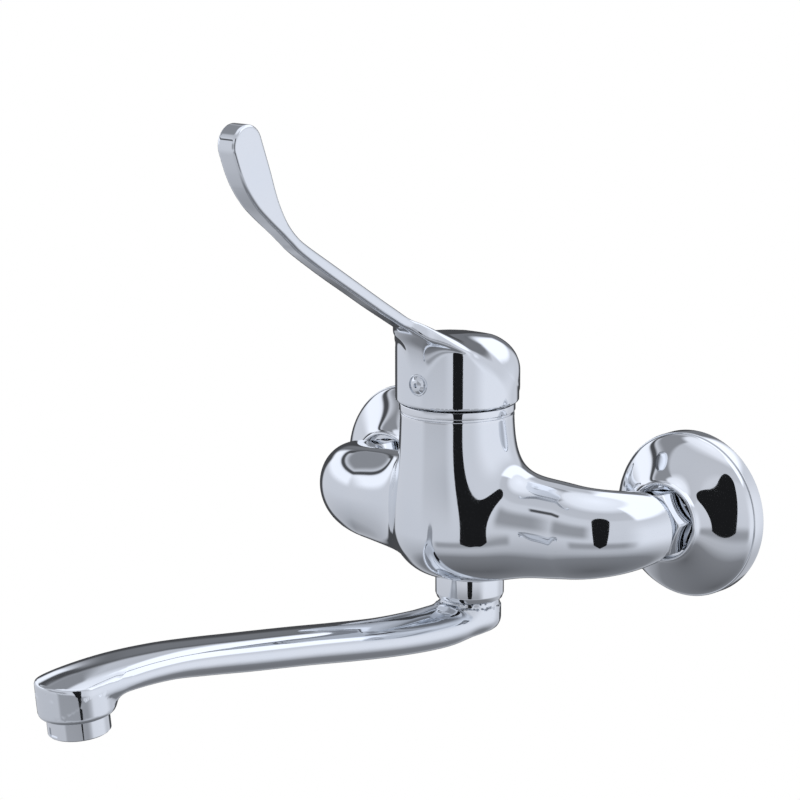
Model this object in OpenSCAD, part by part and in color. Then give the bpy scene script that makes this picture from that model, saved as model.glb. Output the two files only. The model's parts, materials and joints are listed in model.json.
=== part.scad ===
/* [Wall connection] */
// Distance between the hot and cold supply centres
inlet_spacing = 150; // [146:1:160]
// Radius of the G1/2 male threads on the eccentric unions
supply_thread_r = 10.48; // [10.2:0.01:10.6]
// Radius of the finer male threads that carry the union nuts
tap_thread_r = 10; // [9.8:0.05:10.2]
// Length of thread that enters the wall
wall_thread_l = 13; // [10:0.5:18]
// How far each eccentric union lowers the tap below the wall supply
union_drop = 6; // [4:0.5:8]
// Bore radius of the eccentric unions at the wall
union_bore_r = 7.2; // [7:0.1:7.6]
// Bore radius of the eccentric unions at the tap
tap_bore_r = 6.5; // [6:0.1:6.7]
// Outer radius of the threaded collar that carries a wall flange
collar_r = 13.2; // [12.5:0.1:13.8]
// Radius of the wall flange at the wall
flange_r = 34.9; // [32:0.1:38]
// Height of the straight rim of the wall flange
flange_rim_h = 6.2; // [4:0.1:8]
// Depth of the wall flange from the wall to its neck
flange_h = 23.8; // [23:0.1:26]
// Radius of the neck of the wall flange
flange_neck_r = 16.7; // [16.3:0.1:18]
// Wall thickness of the wall flange
flange_wall = 1.2; // [0.8:0.1:1.3]
// Width across the flats of a union nut
union_nut_af = 25.4; // [25:0.1:26.4]
// Distance of the union nut's wall side from the wall
union_nut_back = 21; // [20.5:0.1:22]
// Length of a union nut
union_nut_l = 10.8; // [10.5:0.1:12]

/* [Body] */
// Distance of the crossbar and the spout axis from the wall
bar_d = 56.9; // [56:0.1:62]
// Distance of the upright tower's axis from the wall
tower_d = 65.7; // [64:0.1:68]
// Tower radius at its top
tower_top_r = 23.9; // [23.8:0.1:24.6]
// Tower radius level with the crossbar
tower_mid_r = 25.2; // [25:0.1:27]
// Height of the tower above the crossbar axis
tower_h = 43.6; // [43.2:0.1:48]
// Depth of the round belly below the crossbar axis
belly_h = 24.6; // [24:0.1:28]
// Radius of the crossbar where it meets the unions
bar_end_r = 15.6; // [15:0.1:16.5]
// Height of the crossbar's top above its axis beside the tower
bar_top_h = 20; // [17:0.1:21]
// Depth of the crossbar's underside below its axis beside the tower
bar_under_h = 25.2; // [22:0.1:26]
// Half depth of the crossbar beside the tower
bar_half_d = 18.5; // [17:0.1:20]
// Bend radius of the crossbar's centre line at both ends
elbow_r = 21.8; // [18:0.1:23]
// Gap between a union nut and the end of the crossbar
nut_gap = 4.8; // [1:0.1:6]
// Radius of the waterways in the body
waterway_r = 6.4; // [5:0.1:6.8]

/* [Cartridge] */
// Radius of the ceramic cartridge
cartridge_r = 20; // [19.5:0.1:20.2]
// Height of the cartridge seat above the crossbar axis
seat_z = 8; // [7.8:0.1:9]
// Thickness of each ceramic disc
disc_t = 3.5; // [3:0.1:4]
// Radius of the fixed ceramic disc
fixed_disc_r = 15.5; // [15:0.1:16]
// Radius of the moving ceramic disc
moving_disc_r = 13; // [12.8:0.1:13.2]
// Height of the lever's pivot pin above the crossbar axis
pivot_z = 36; // [35.5:0.1:36.5]
// Radius of the pivot pin
pivot_pin_r = 1.5; // [1.2:0.1:1.8]
// Width of the square stem
stem_w = 8; // [7:0.1:8.4]
// Largest turn of the stem guide to each side
swing_deg = 50; // [40:1:50]
// Largest lift of the lever
lift_deg = 20; // [14:1:20]

/* [Handle] */
// Radius of the handle's skirt
handle_r = 25.8; // [25.7:0.1:27]
// Wall thickness of the handle's skirt
handle_wall = 0.9; // [0.7:0.1:0.9]
// Height of the handle from its lower edge to its crown above the tower axis
handle_h = 27.5; // [26:0.1:29]
// Radius of the cap's rounded shoulder at the back
shoulder_r = 11.8; // [9:0.1:12]
// Radius of the hollow curves where the cap narrows into the lever
flare_r = 14; // [9:0.1:16]
// Gap between the trim ring and the handle
handle_gap = 0.3; // [0.3:0.1:1]
// Height of the rounded trim ring below the handle
ring_h = 4.8; // [4:0.1:5.5]
// Reach of the lever's tip in front of the tower axis
lever_reach = 140; // [110:1:170]
// Rise of the lever's tip above the handle's crown
lever_rise = 98; // [70:1:120]
// Width of the lever's flat blade seen from the side
blade_w = 15.8; // [12:0.1:20]
// Width of the lever's shaft seen from the side
shaft_w = 5.1; // [4.6:0.1:7]
// Thickness of the lever from left to right
lever_t = 8.3; // [6:0.1:9]
// Radius of the button that covers the lever's screw
button_r = 4.6; // [4:0.1:5]

/* [Spout] */
// Distance from the spout's swivel axis to its outlet
spout_reach = 203.2; // [150:0.1:260]
// Turn of the spout from straight ahead as shown
spout_turn = 10; // [0:1:30]
// Outer radius of the spout nut
spout_nut_r = 14.5; // [14.2:0.1:15.5]
// Height of the lower face of the spout nut below the crossbar axis
spout_nut_z = 37.7; // [37:0.1:40]
// Radius of the spout's round root
spout_root_r = 13.4; // [13:0.1:14]
// Radius of the spout's swivel tube
swivel_r = 9.5; // [9:0.1:9.8]
// Width of the spout's flattened tube
spout_w = 26; // [24:0.1:28]
// Height of the spout's flattened tube
spout_t = 13.2; // [11:0.1:15]
// Radius of the outlet head at its top
head_r = 15.4; // [15:0.1:16.5]
// Height of the outlet head
head_h = 15; // [14:0.1:17]
// Tilt of the outlet towards the wall
outlet_tilt = 6.5; // [0:0.5:10]
// Radius of the aerator's shell
aerator_r = 12.4; // [12:0.1:13]
// Height of the aerator's shell below the outlet head
aerator_h = 7.6; // [6:0.1:10]

/* [Hidden] */
$fn = 96;

// Fits and clearances
thread_fit = 0.05;
running_fit = 0.06;
sliding_gap = 0.3;
overlap = 0.01;

// Wall side, as distances from the wall
collar_back = 5;
collar_front = 17;
union_end = 26.8;
washer_t = 1.5;
tail_flange_t = 1.5;
tail_flange_r = tap_thread_r - 0.2;
tail_r = 8.6;
tail_bore_r = 6.1;
tail_depth = 9;
nut_front = union_nut_back + union_nut_l;
body_end = nut_front + nut_gap;
nut_chamfer = 1;
nut_turn = 8;
half_spacing = inlet_spacing / 2;

// Cartridge levels above the crossbar axis
seal_t = 1.6;
seal_squeeze = 0.2;
base_z = seat_z + seal_squeeze;
base_h = 5.8;
recess_z = base_z + base_h - 2;
moving_z = recess_z + disc_t;
carrier_z = moving_z + disc_t;
carrier_h = 6;
carrier_floor = 1;
housing_z = base_z + base_h;
guide_z = carrier_z + carrier_h + sliding_gap;
guide_flange_h = 3;
guide_flange_r = 17.2;
guide_neck_r = 12.2;
housing_roof_z = guide_z + guide_flange_h + sliding_gap;
housing_roof_t = 2.2;
housing_wall = 2;
housing_top_z = housing_roof_z + housing_roof_t;
guide_top_z = pivot_z + 5.5;
tower_thread_r = cartridge_r + 1.6;
retaining_z = housing_top_z;
retaining_h = 6.5;
retaining_bore_r = 14.8;
lug_h = 2.4;
lug_half_angle = 8;
stop_slack = 1;
ball_r = 3;
ball_z = carrier_z + carrier_floor + ball_r + sliding_gap;
stem_arm = pivot_z - ball_z;
slide_travel = stem_arm * lift_deg * PI / 180;

// Water ports in the cartridge and its seat: both inlets in front, the outlet behind
inlet_port_x = 4.5;
inlet_port_y = -7;
inlet_port_r = 2.4;
outlet_port_y = 5;
outlet_port_r = 3.5;
port_wall = 2;
cross_port_x = 8;
cross_port_r = 3;
mixing_pocket_r = 6.2;

// Handle levels above the crossbar axis
ring_top_z = tower_h + ring_h;
handle_z = ring_top_z + handle_gap;
crown_z = handle_z + handle_h;
roof_z = handle_z + 9.5;
dome_hollow_r = 19;
dome_hollow_z = roof_z + 8;
boss_r = 8;
boss_z = handle_z + 1.5;
stem_top_z = roof_z + 6;
screw_z = handle_z + 10;
screw_r = 2.5;
ring_sleeve_r = tower_thread_r - 0.1;
ring_bore_r = 15.5;

// Spout levels below the crossbar axis
spigot_r = 12.2;
spigot_end = spout_nut_z - 4.4;
nut_top = belly_h + 2.2;
nut_boss_r = spout_nut_r - 0.4;
nut_lip_t = 1.6;
slip_ring_t = spout_nut_z - nut_lip_t - spigot_end - 2 * running_fit;
outlet_bore_r = swivel_r + 0.4;
outlet_roof = 17;
root_top = spout_nut_z + sliding_gap;
root_end = 46.5;
head_top = 34;
head_end = head_top + head_h;
aerator_end = head_end + aerator_h;
chamber_r = 11.6;
chamber_depth = 9;
swivel_top = spigot_end - 12;
groove_depth = 0.9;

// Frames shared by the pieces
module tap() {
  translate([0, 0, -union_drop]) children();
}

module on_tower() {
  tap() translate([0, -tower_d, 0]) children();
}

module on_spout() {
  tap() translate([0, -bar_d, 0]) rotate([0, 0, -spout_turn]) children();
}

// A piece that is turned about an axis running out of the wall
module from_wall(x, d, z = 0) {
  translate([x, -d, z]) rotate([90, 0, 0]) children();
}

// Unit helpers for smooth outlines
function signed_power(v, e) = sign(v) * pow(abs(v), e);

function oval_point(t, a, b, p) = [a * signed_power(cos(t), 2 / p), b * signed_power(sin(t), 2 / p)];

function mix(a, b, t) = a * (1 - t) + b * t;

function smooth(t) = t <= 0 ? 0 : t >= 1 ? 1 : t * t * (3 - 2 * t);

// A curve through a list of stations, at the parameter s from 0 to the last index
function station(list, i) = list[min(max(i, 0), len(list) - 1)];

function spline(list, s) =
  let (
    i = min(floor(s), len(list) - 2),
    t = s - i,
    p0 = station(list, i - 1),
    p1 = station(list, i),
    p2 = station(list, i + 1),
    p3 = station(list, i + 2)
  )
  (p1 * 2 + (p2 - p0) * t + (p0 * 2 - p1 * 5 + p2 * 4 - p3) * t * t
    + (p1 * 3 - p0 - p2 * 3 + p3) * t * t * t) / 2;

// A closed solid through a row of rings that all have the same number of points
module skin(rings) {
  n = len(rings[0]);
  m = len(rings);
  sides = [
    for (i = [0:m - 2], j = [0:n - 1])
      let (a = i * n + j, b = i * n + (j + 1) % n)
      each [[a, b, b + n], [a, b + n, a + n]]
  ];
  first = [for (j = [1:n - 2]) [0, j + 1, j]];
  last = [for (j = [1:n - 2]) [(m - 1) * n, (m - 1) * n + j, (m - 1) * n + j + 1]];
  polyhedron(points = [for (r = rings) each r], faces = concat(first, sides, last));
}

// Eccentric unions

module s_union(x) {
  color("silver") difference() {
    union() {
      from_wall(x, -wall_thread_l) cylinder(r = supply_thread_r, h = wall_thread_l + collar_back);
      from_wall(x, 0) cylinder(r = collar_r, h = collar_back + 3);
      from_wall(x, collar_back, -union_drop) cylinder(r = collar_r, h = collar_front - collar_back);
      from_wall(x, collar_back, -union_drop)
        cylinder(r = tap_thread_r, h = union_end - collar_back);
    }
    from_wall(x, -wall_thread_l - 1) cylinder(r = union_bore_r, h = wall_thread_l + collar_back + 2);
    from_wall(x, 2, -union_drop) cylinder(r = tap_bore_r, h = union_end);
  }
}

module s_union_left() {
  s_union(-half_spacing);
}

module s_union_right() {
  s_union(half_spacing);
}

// Wall flanges

function flange_r_at(t) = mix(flange_r - 0.6, flange_neck_r, smooth(t));

function flange_d_at(t) = mix(flange_rim_h, flange_h, t);

flange_steps = 16;

module wall_flange(x) {
  outer = [for (i = [0:flange_steps]) [flange_r_at(i / flange_steps), flange_d_at(i / flange_steps)]];
  inner = [
    for (i = [flange_steps:-1:0])
      [flange_r_at(i / flange_steps) - flange_wall, flange_d_at(i / flange_steps) - flange_wall * 0.6]
  ];
  color("gainsboro") union() {
    from_wall(x, 0, -union_drop) rotate_extrude()
      polygon(concat(
        [[flange_r - flange_wall, 0], [flange_r, 0]],
        outer,
        [[flange_neck_r - flange_wall, flange_h]],
        [for (p = inner) if (p[1] > 0) p]
      ));
    from_wall(x, collar_front - 3, -union_drop) difference() {
      cylinder(r = flange_r_at((collar_front - 3 - flange_rim_h) / (flange_h - flange_rim_h)) - 0.6, h = 3);
      translate([0, 0, -1]) cylinder(r = collar_r + thread_fit, h = 5);
    }
  }
}

module wall_flange_left() {
  wall_flange(-half_spacing);
}

module wall_flange_right() {
  wall_flange(half_spacing);
}

// Union washers, nuts and inlet tails

module union_washer(x) {
  color("dimgray") from_wall(x, union_end, -union_drop) difference() {
    cylinder(r = tail_flange_r, h = washer_t);
    translate([0, 0, -1]) cylinder(r = tail_bore_r, h = washer_t + 2);
  }
}

module union_washer_left() {
  union_washer(-half_spacing);
}

module union_washer_right() {
  union_washer(half_spacing);
}

module union_nut(x) {
  hex_r = union_nut_af / 2 / cos(30);
  thread_end = union_end + washer_t + tail_flange_t;
  color("silver") difference() {
    intersection() {
      from_wall(x, union_nut_back, -union_drop) rotate([0, 0, nut_turn])
        cylinder(r = hex_r, h = union_nut_l, $fn = 6);
      from_wall(x, union_nut_back, -union_drop) rotate_extrude()
        polygon([
          [0, 0], [hex_r - nut_chamfer, 0], [hex_r + 0.3, nut_chamfer],
          [hex_r + 0.3, union_nut_l - nut_chamfer], [hex_r - nut_chamfer, union_nut_l], [0, union_nut_l]
        ]);
    }
    from_wall(x, union_nut_back - 1, -union_drop)
      cylinder(r = tap_thread_r + thread_fit, h = thread_end - union_nut_back + 1);
    from_wall(x, thread_end - 1, -union_drop) cylinder(r = tail_r + thread_fit, h = union_nut_l);
  }
}

module union_nut_left() {
  union_nut(-half_spacing);
}

module union_nut_right() {
  union_nut(half_spacing);
}

module inlet_tail(x) {
  start = union_end + washer_t;
  color("goldenrod") difference() {
    union() {
      from_wall(x, start, -union_drop) cylinder(r = tail_flange_r, h = tail_flange_t);
      from_wall(x, start, -union_drop) cylinder(r = tail_r, h = body_end + tail_depth - start);
    }
    from_wall(x, start - 1, -union_drop) cylinder(r = tail_bore_r, h = body_end + tail_depth);
  }
}

module inlet_tail_left() {
  inlet_tail(-half_spacing);
}

module inlet_tail_right() {
  inlet_tail(half_spacing);
}

// Body casting

bar_steps = 18;
elbow_steps = 8;
bar_sides = 32;
bend_x = half_spacing - elbow_r;
saddle_r = 13;

// Height that the fillet between tower and crossbar adds at the distance x from the tower axis
function saddle(x) =
  let (d = max(0, abs(x) - tower_mid_r + 5))
  d >= saddle_r ? 0 : saddle_r - sqrt(saddle_r * saddle_r - pow(saddle_r - d, 2));

// The elbow ends where its centre line reaches the rounded rim
rim_round = 1.3;
rim_d = body_end + rim_round;
elbow_end = acos(max(0, (rim_d - bar_d + elbow_r) / elbow_r));

// Share of the way from the tower to the end of the crossbar, along its bent centre line
half_run = bend_x + elbow_r * PI * elbow_end / 180;

// The crossbar swells towards the tower, and most on its underside
top_fullness = 2.4;
under_fullness = 1.9;

function bar_section(run) =
  let (
    k = run / half_run,
    top = bar_end_r + (bar_top_h - bar_end_r) * (1 - pow(k, top_fullness)),
    under = bar_end_r + (bar_under_h - bar_end_r) * (1 - pow(k, under_fullness)),
    half_d = mix(bar_half_d, bar_end_r, smooth(1.5 * k))
  )
  [half_d, (top + under) / 2, (under - top) / 2, mix(2.3, 2, smooth(1.5 * k))];

function bar_ring(x) =
  let (
    q = bar_section(x),
    ahead = mix(2.5, 0, smooth(x / bend_x))
  )
  [
    for (j = [0:bar_sides - 1])
      let (
        t = 360 * j / bar_sides,
        p = oval_point(t, q[0], q[1], q[3]),
        lift = saddle(x) * pow(max(0, sin(t)), 3)
      )
      [x, -bar_d - ahead - p[0], p[1] - q[2] + lift]
  ];

function elbow_ring(t) =
  let (q = bar_section(bend_x + elbow_r * PI * t / 180))
  [
    for (j = [0:bar_sides - 1])
      let (
        p = oval_point(360 * j / bar_sides, q[0], q[1], q[3]),
        r = elbow_r + p[0]
      )
      [bend_x + r * sin(t), min(-bar_d + elbow_r - r * cos(t), -rim_d), p[1] - q[2]]
  ];

function end_ring(d, shrink) =
  [
    for (j = [0:bar_sides - 1])
      let (p = oval_point(360 * j / bar_sides, bar_end_r - shrink, bar_end_r - shrink, 2))
      [half_spacing + p[0], -d, p[1]]
  ];

right_half = concat(
  [for (i = [1:bar_steps]) bar_ring(bend_x * i / bar_steps)],
  [for (i = [1:elbow_steps]) elbow_ring(elbow_end * i / elbow_steps)],
  [
    end_ring(rim_d, 0),
    end_ring(body_end + 0.35 * rim_round, 0.3 * rim_round),
    end_ring(body_end, rim_round)
  ]
);

function mirrored(ring) = [for (p = ring) [-p[0], p[1], p[2]]];

crossbar_rings = concat(
  [for (i = [len(right_half) - 1:-1:0]) mirrored(right_half[i])],
  [bar_ring(0)],
  right_half
);

// Tower with a round belly
belly_steps = 8;
belly_flat_r = 4;
belly_top = -6;

function belly_point(t) = [
  belly_flat_r + (tower_mid_r - belly_flat_r) * cos(t),
  belly_top - (belly_h + belly_top) * sin(t)
];

module tower_form() {
  translate([0, -tower_d, 0]) rotate_extrude()
    polygon(concat(
      [[0, tower_h], [tower_top_r, tower_h], [tower_mid_r, 0]],
      [for (i = [0:belly_steps]) belly_point(90 * i / belly_steps)],
      [[0, -belly_h]]
    ));
}

module elbow_waterway() {
  translate([bend_x, -bar_d + elbow_r, 0]) rotate([0, 0, -90]) rotate_extrude(angle = 90)
    translate([elbow_r, 0]) circle(r = waterway_r);
}

module waterways() {
  for (side = [0, 1]) mirror([side, 0, 0]) {
    from_wall(half_spacing, body_end - 1) cylinder(r = tail_r + thread_fit, h = tail_depth + 1);
    elbow_waterway();
    translate([outlet_port_r + port_wall, -bar_d, 0]) rotate([0, 90, 0])
      cylinder(r = waterway_r, h = bend_x - outlet_port_r - port_wall);
    // Supply passage forward to the inlet port in the cartridge seat
    translate([cross_port_x, -bar_d, 0]) rotate([90, 0, 0])
      cylinder(r = cross_port_r, h = tower_d - bar_d - inlet_port_y + inlet_port_r);
    translate([inlet_port_x, -tower_d + inlet_port_y, 0]) cylinder(r = inlet_port_r, h = seat_z + 1);
  }
  // Mixed water drops straight from the cartridge seat to the spout
  translate([0, -tower_d + outlet_port_y, -outlet_roof - 1])
    cylinder(r = outlet_port_r, h = outlet_roof + seat_z + 2);
  translate([0, -bar_d, -spigot_end - 1]) cylinder(r = outlet_bore_r, h = spigot_end + 1 - outlet_roof);
}

module mixer_body() {
  color("silver") tap() difference() {
    union() {
      skin(crossbar_rings);
      tower_form();
      translate([0, -bar_d, -spigot_end]) cylinder(r = spigot_r, h = spigot_end - 5);
      translate([0, -bar_d, -nut_top + sliding_gap]) cylinder(r = nut_boss_r, h = nut_top - 10);
    }
    waterways();
    translate([0, -tower_d, seat_z]) cylinder(r = cartridge_r + thread_fit, h = tower_h);
    translate([0, -tower_d, retaining_z]) cylinder(r = tower_thread_r + thread_fit, h = tower_h);
  }
}

// Cartridge

module ports(z, h, grow = 0) {
  for (x = [-inlet_port_x, inlet_port_x])
    translate([x, inlet_port_y, z]) cylinder(r = inlet_port_r + grow, h = h);
  translate([0, outlet_port_y, z]) cylinder(r = outlet_port_r + grow, h = h);
}

module cartridge_seals() {
  color("dimgray") on_tower() difference() {
    ports(seat_z, seal_t, 1.4);
    ports(seat_z - 1, seal_t + 2);
  }
}

module cartridge_base() {
  color("whitesmoke") on_tower() difference() {
    translate([0, 0, base_z]) cylinder(r = cartridge_r, h = base_h);
    translate([0, 0, recess_z]) cylinder(r = fixed_disc_r + thread_fit, h = base_h);
    ports(seat_z, seal_t, 1.4 + thread_fit);
    ports(seat_z, base_h + 2);
  }
}

module fixed_disc() {
  color("ivory") on_tower() difference() {
    translate([0, 0, recess_z]) cylinder(r = fixed_disc_r, h = disc_t);
    ports(recess_z - 1, disc_t + 2);
  }
}

module moving_disc() {
  color("white") on_tower() difference() {
    translate([0, slide_travel / 2, moving_z]) cylinder(r = moving_disc_r, h = disc_t);
    translate([0, slide_travel / 2, moving_z - 1]) cylinder(r = mixing_pocket_r, h = disc_t);
  }
}

// The stem's ball sits in a square socket with a little room behind it for its arc
module disc_carrier() {
  socket_r = ball_r + running_fit;
  arc_room = 0.4;
  color("lightgray") on_tower() difference() {
    translate([0, slide_travel / 2, carrier_z]) cylinder(r = moving_disc_r, h = carrier_h);
    translate([-socket_r, -socket_r, carrier_z + carrier_floor])
      cube([2 * socket_r, 2 * socket_r + arc_room, carrier_h]);
  }
}

// Part of a ring between two angles
module sector(r_in, r_out, z, h, from, to) {
  rotate([0, 0, from]) rotate_extrude(angle = to - from)
    translate([r_in, z]) square([r_out - r_in, h]);
}

module cartridge_housing() {
  color("whitesmoke") on_tower() difference() {
    translate([0, 0, housing_z]) cylinder(r = cartridge_r, h = housing_top_z - housing_z);
    translate([0, 0, housing_z - 1])
      cylinder(r = cartridge_r - housing_wall, h = housing_roof_z - housing_z + 1);
    translate([0, 0, housing_z]) cylinder(r = guide_neck_r + running_fit, h = housing_top_z);
  }
  // Two stop blocks on the roof end the swing of the guide's lug
  color("whitesmoke") on_tower() for (side = [0, 1]) mirror([side, 0, 0])
    sector(
      guide_neck_r + sliding_gap, retaining_bore_r - sliding_gap, housing_top_z - overlap, lug_h,
      -90 + swing_deg + lug_half_angle + stop_slack, -78 + swing_deg + lug_half_angle + stop_slack
    );
}

module stem_slot() {
  slot_l = 2 * (stem_w / 2 + slide_travel + 2);
  translate([-stem_w / 2 - running_fit, -slot_l / 2, guide_z - 1])
    cube([stem_w + 2 * running_fit, slot_l, guide_top_z]);
}

module stem_guide() {
  color("lightsteelblue") on_tower() difference() {
    union() {
      translate([0, 0, guide_z]) cylinder(r = guide_flange_r, h = guide_flange_h);
      translate([0, 0, guide_z]) cylinder(r = guide_neck_r, h = guide_top_z - guide_z);
      sector(
        guide_neck_r - 1, retaining_bore_r - 2 * sliding_gap,
        housing_top_z + sliding_gap, lug_h - sliding_gap,
        -90 - lug_half_angle, -90 + lug_half_angle
      );
    }
    stem_slot();
    translate([-guide_neck_r - 1, 0, pivot_z]) rotate([0, 90, 0])
      cylinder(r = pivot_pin_r + thread_fit, h = 2 * guide_neck_r + 2);
  }
}

module pivot_pin() {
  pin_l = 2 * guide_neck_r - 1;
  color("gray") on_tower() translate([-pin_l / 2, 0, pivot_z]) rotate([0, 90, 0])
    cylinder(r = pivot_pin_r, h = pin_l);
}

module stem() {
  color("darkgray") on_tower() difference() {
    union() {
      translate([0, 0, ball_z]) sphere(r = ball_r);
      translate([0, 0, ball_z]) cylinder(r = ball_r - 0.6, h = pivot_z - ball_z);
      translate([-stem_w / 2, -stem_w / 2, pivot_z - 4]) cube([stem_w, stem_w, stem_top_z - pivot_z + 4]);
    }
    translate([-stem_w, 0, pivot_z]) rotate([0, 90, 0])
      cylinder(r = pivot_pin_r + running_fit, h = 2 * stem_w);
  }
}

module retaining_nut() {
  notch_w = 4;
  color("goldenrod") on_tower() difference() {
    translate([0, 0, retaining_z]) cylinder(r = tower_thread_r, h = retaining_h);
    translate([0, 0, retaining_z - 1]) cylinder(r = retaining_bore_r, h = retaining_h + 2);
    for (a = [0, 90]) rotate([0, 0, a])
      translate([-tower_thread_r, -notch_w / 2, retaining_z + retaining_h - 2])
        cube([2 * tower_thread_r, notch_w, 3]);
  }
}

module trim_ring() {
  bulge = 0.6;
  steps = 8;
  sleeve_z = retaining_z + retaining_h + 0.2;
  color("gainsboro") on_tower() rotate_extrude()
    polygon(concat(
      [[ring_bore_r, sleeve_z + 0.5], [ring_sleeve_r, sleeve_z + 0.5], [ring_sleeve_r, tower_h]],
      [
        for (i = [0:steps])
          let (t = 180 * i / steps - 90)
          [tower_top_r - 0.9 + bulge * cos(t) * 2, tower_h + ring_h / 2 * (1 + sin(t))]
      ],
      [[ring_bore_r, ring_top_z]]
    ));
}

// Handle

// Top and underside of the hood at a distance in front of the tower axis. The crown falls a little to
// the back and climbs into the lever.
crown_slope = 0.1;
lever_climb = 0.6;
climb_top = crown_z - 9.3;
climb_low = climb_top - 4.9;
top_blend = 9;

function hood_top(s) =
  let (
    crown = crown_z + crown_slope * s,
    climb = climb_top + lever_climb * s,
    near = max(top_blend - abs(crown - climb), 0) / top_blend
  )
  max(crown, climb) + near * near * near * top_blend / 6;

function hood_low(s) = climb_low + lever_climb * s;

// Shoulder radius, soft at the back and as tight as the lever's edges in front
lever_edge = 1.4;
tighten_from = -2;
tighten_run = 34;

function shoulder_at(s) = mix(shoulder_r, lever_edge, smooth((s - tighten_from) / tighten_run));

// Hood outline from its tip round to the back of the cap:
// [sideways, ahead, inward normal sideways, inward normal ahead, azimuth on the skirt]
flare_x = lever_t / 2 + flare_r;
flare_s = sqrt(pow(handle_r + flare_r, 2) - flare_x * flare_x);
flare_deg = atan2(flare_x, flare_s);
hood_tip = flare_s + 4;
flare_steps = 7;
back_steps = 16;

right_outline = concat(
  [
    [lever_t / 2 - 0.2, hood_tip, -1, 0, flare_deg * 0.16],
    [lever_t / 2, (hood_tip + flare_s) / 2, -1, 0, flare_deg * 0.28]
  ],
  [
    for (i = [0:flare_steps - 1])
      let (k = i / flare_steps, t = (90 - flare_deg) * k)
      [flare_x - flare_r * cos(t), flare_s - flare_r * sin(t), -cos(t), -sin(t), flare_deg * mix(0.4, 1, k)]
  ],
  [
    for (i = [0:back_steps - 1])
      let (t = mix(flare_deg, 180, i / back_steps))
      [handle_r * sin(t), handle_r * cos(t), -sin(t), -cos(t), t]
  ]
);

hood_outline = concat(
  [[0, hood_tip, 0, 0, 0]],
  right_outline,
  [[0, -handle_r, 0, 1, 180]],
  [for (i = [len(right_outline) - 1:-1:0]) let (q = right_outline[i]) [-q[0], q[1], -q[2], q[3], -q[4]]]
);

function skirt_point(q, inset, z) = [(handle_r - inset) * sin(q[4]), -(handle_r - inset) * cos(q[4]), z];

// Level where the skirt turns out into the hood's underside, kept between the lower edge and the shoulder
hollow_h = 17;
hollow_in = 0.9;
full_reach = 6;

function reach_out(q) =
  min(1, norm([q[0] - handle_r * sin(q[4]), q[1] - handle_r * cos(q[4])]) / full_reach);

function turn_z(q, up) =
  let (z = hood_low(handle_r * cos(q[4])) - (1 - up) * hollow_h * reach_out(q))
  min(max(z, handle_z + 1 + up), hood_top(q[1]) - shoulder_at(q[1]) - 1.5 + up);

// Curve from the skirt out to the hood's outline, with t from 0 to 1
function turn_point(q, t) =
  let (
    from = skirt_point(q, hollow_in * reach_out(q), turn_z(q, 0)),
    corner = skirt_point(q, hollow_in * reach_out(q), turn_z(q, 1)),
    to = [q[0], -q[1], max(min(hood_low(q[1]), hood_top(q[1]) - shoulder_at(q[1]) - 0.3), corner[2] + 0.1)]
  )
  from * (1 - t) * (1 - t) + corner * 2 * t * (1 - t) + to * t * t;

function shoulder_point(q, t) =
  let (
    r = shoulder_at(q[1]),
    x = q[0] + q[2] * r * (1 - cos(t)),
    ahead = q[1] + q[3] * r * (1 - cos(t))
  )
  [x, -ahead, hood_top(ahead) - r * (1 - sin(t))];

turn_steps = 5;
shoulder_steps = 6;

hood_rings = concat(
  [
    [for (q = hood_outline) skirt_point(q, 0.5, handle_z)],
    [for (q = hood_outline) skirt_point(q, 0, handle_z + 0.5)]
  ],
  [for (i = [0:turn_steps]) [for (q = hood_outline) turn_point(q, i / turn_steps)]],
  [for (i = [0:shoulder_steps]) [for (q = hood_outline) shoulder_point(q, 90 * i / shoulder_steps)]]
);

// The cap closed across its crown by strips from left to right
module hood() {
  n = len(hood_outline);
  m = len(hood_rings);
  half = n / 2;
  top = (m - 1) * n;
  sides = [
    for (i = [0:m - 2], j = [0:n - 1])
      let (a = i * n + j, b = i * n + (j + 1) % n)
      each [[a, b + n, b], [a, a + n, b + n]]
  ];
  low = [for (j = [1:n - 2]) [0, j, j + 1]];
  strips = [
    for (j = [1:half - 2])
      let (a = top + j, b = top + j + 1, c = top + n - j - 1, d = top + n - j)
      each [[a, c, b], [a, d, c]]
  ];
  ends = [
    [top, top + n - 1, top + 1],
    [top + half - 1, top + half + 1, top + half]
  ];
  polyhedron(points = [for (r = hood_rings) each r], faces = concat(low, sides, strips, ends));
}

// Lever stations: [distance in front of the tower axis, height, width seen from the side,
// thickness from left to right]
root_d = handle_r - 8;
lever_run = lever_reach - root_d;
lever_root_up = 1.8;
paddle_t = lever_t + 1.2;

function lever_station(along, up, w, t) =
  [root_d + along * lever_run, crown_z + lever_root_up + up * lever_rise, w, t];

lever_stations = [
  lever_station(0.075, 0.026, shaft_w - 0.7, lever_t - 0.4),
  lever_station(0.192, 0.111, shaft_w - 0.3, lever_t),
  lever_station(0.322, 0.207, shaft_w, lever_t),
  lever_station(0.468, 0.317, shaft_w, lever_t),
  lever_station(0.6, 0.422, shaft_w, lever_t),
  lever_station(0.703, 0.513, shaft_w - 0.8, lever_t),
  lever_station(0.761, 0.577, shaft_w + 0.5, lever_t + 0.4),
  lever_station(0.813, 0.651, blade_w - 6.8, lever_t + 0.8),
  lever_station(0.856, 0.729, blade_w - 3.1, paddle_t),
  lever_station(0.895, 0.815, blade_w - 0.5, paddle_t),
  lever_station(0.934, 0.927, blade_w, paddle_t)
];
lever_steps = 3;
lever_sides = 24;
tip_steps = 5;

function lever_at(s) = spline(lever_stations, s);

function lever_slope(s) =
  let (d = lever_at(s + 0.01) - lever_at(s - 0.01))
  atan2(d[1], d[0]);

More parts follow.
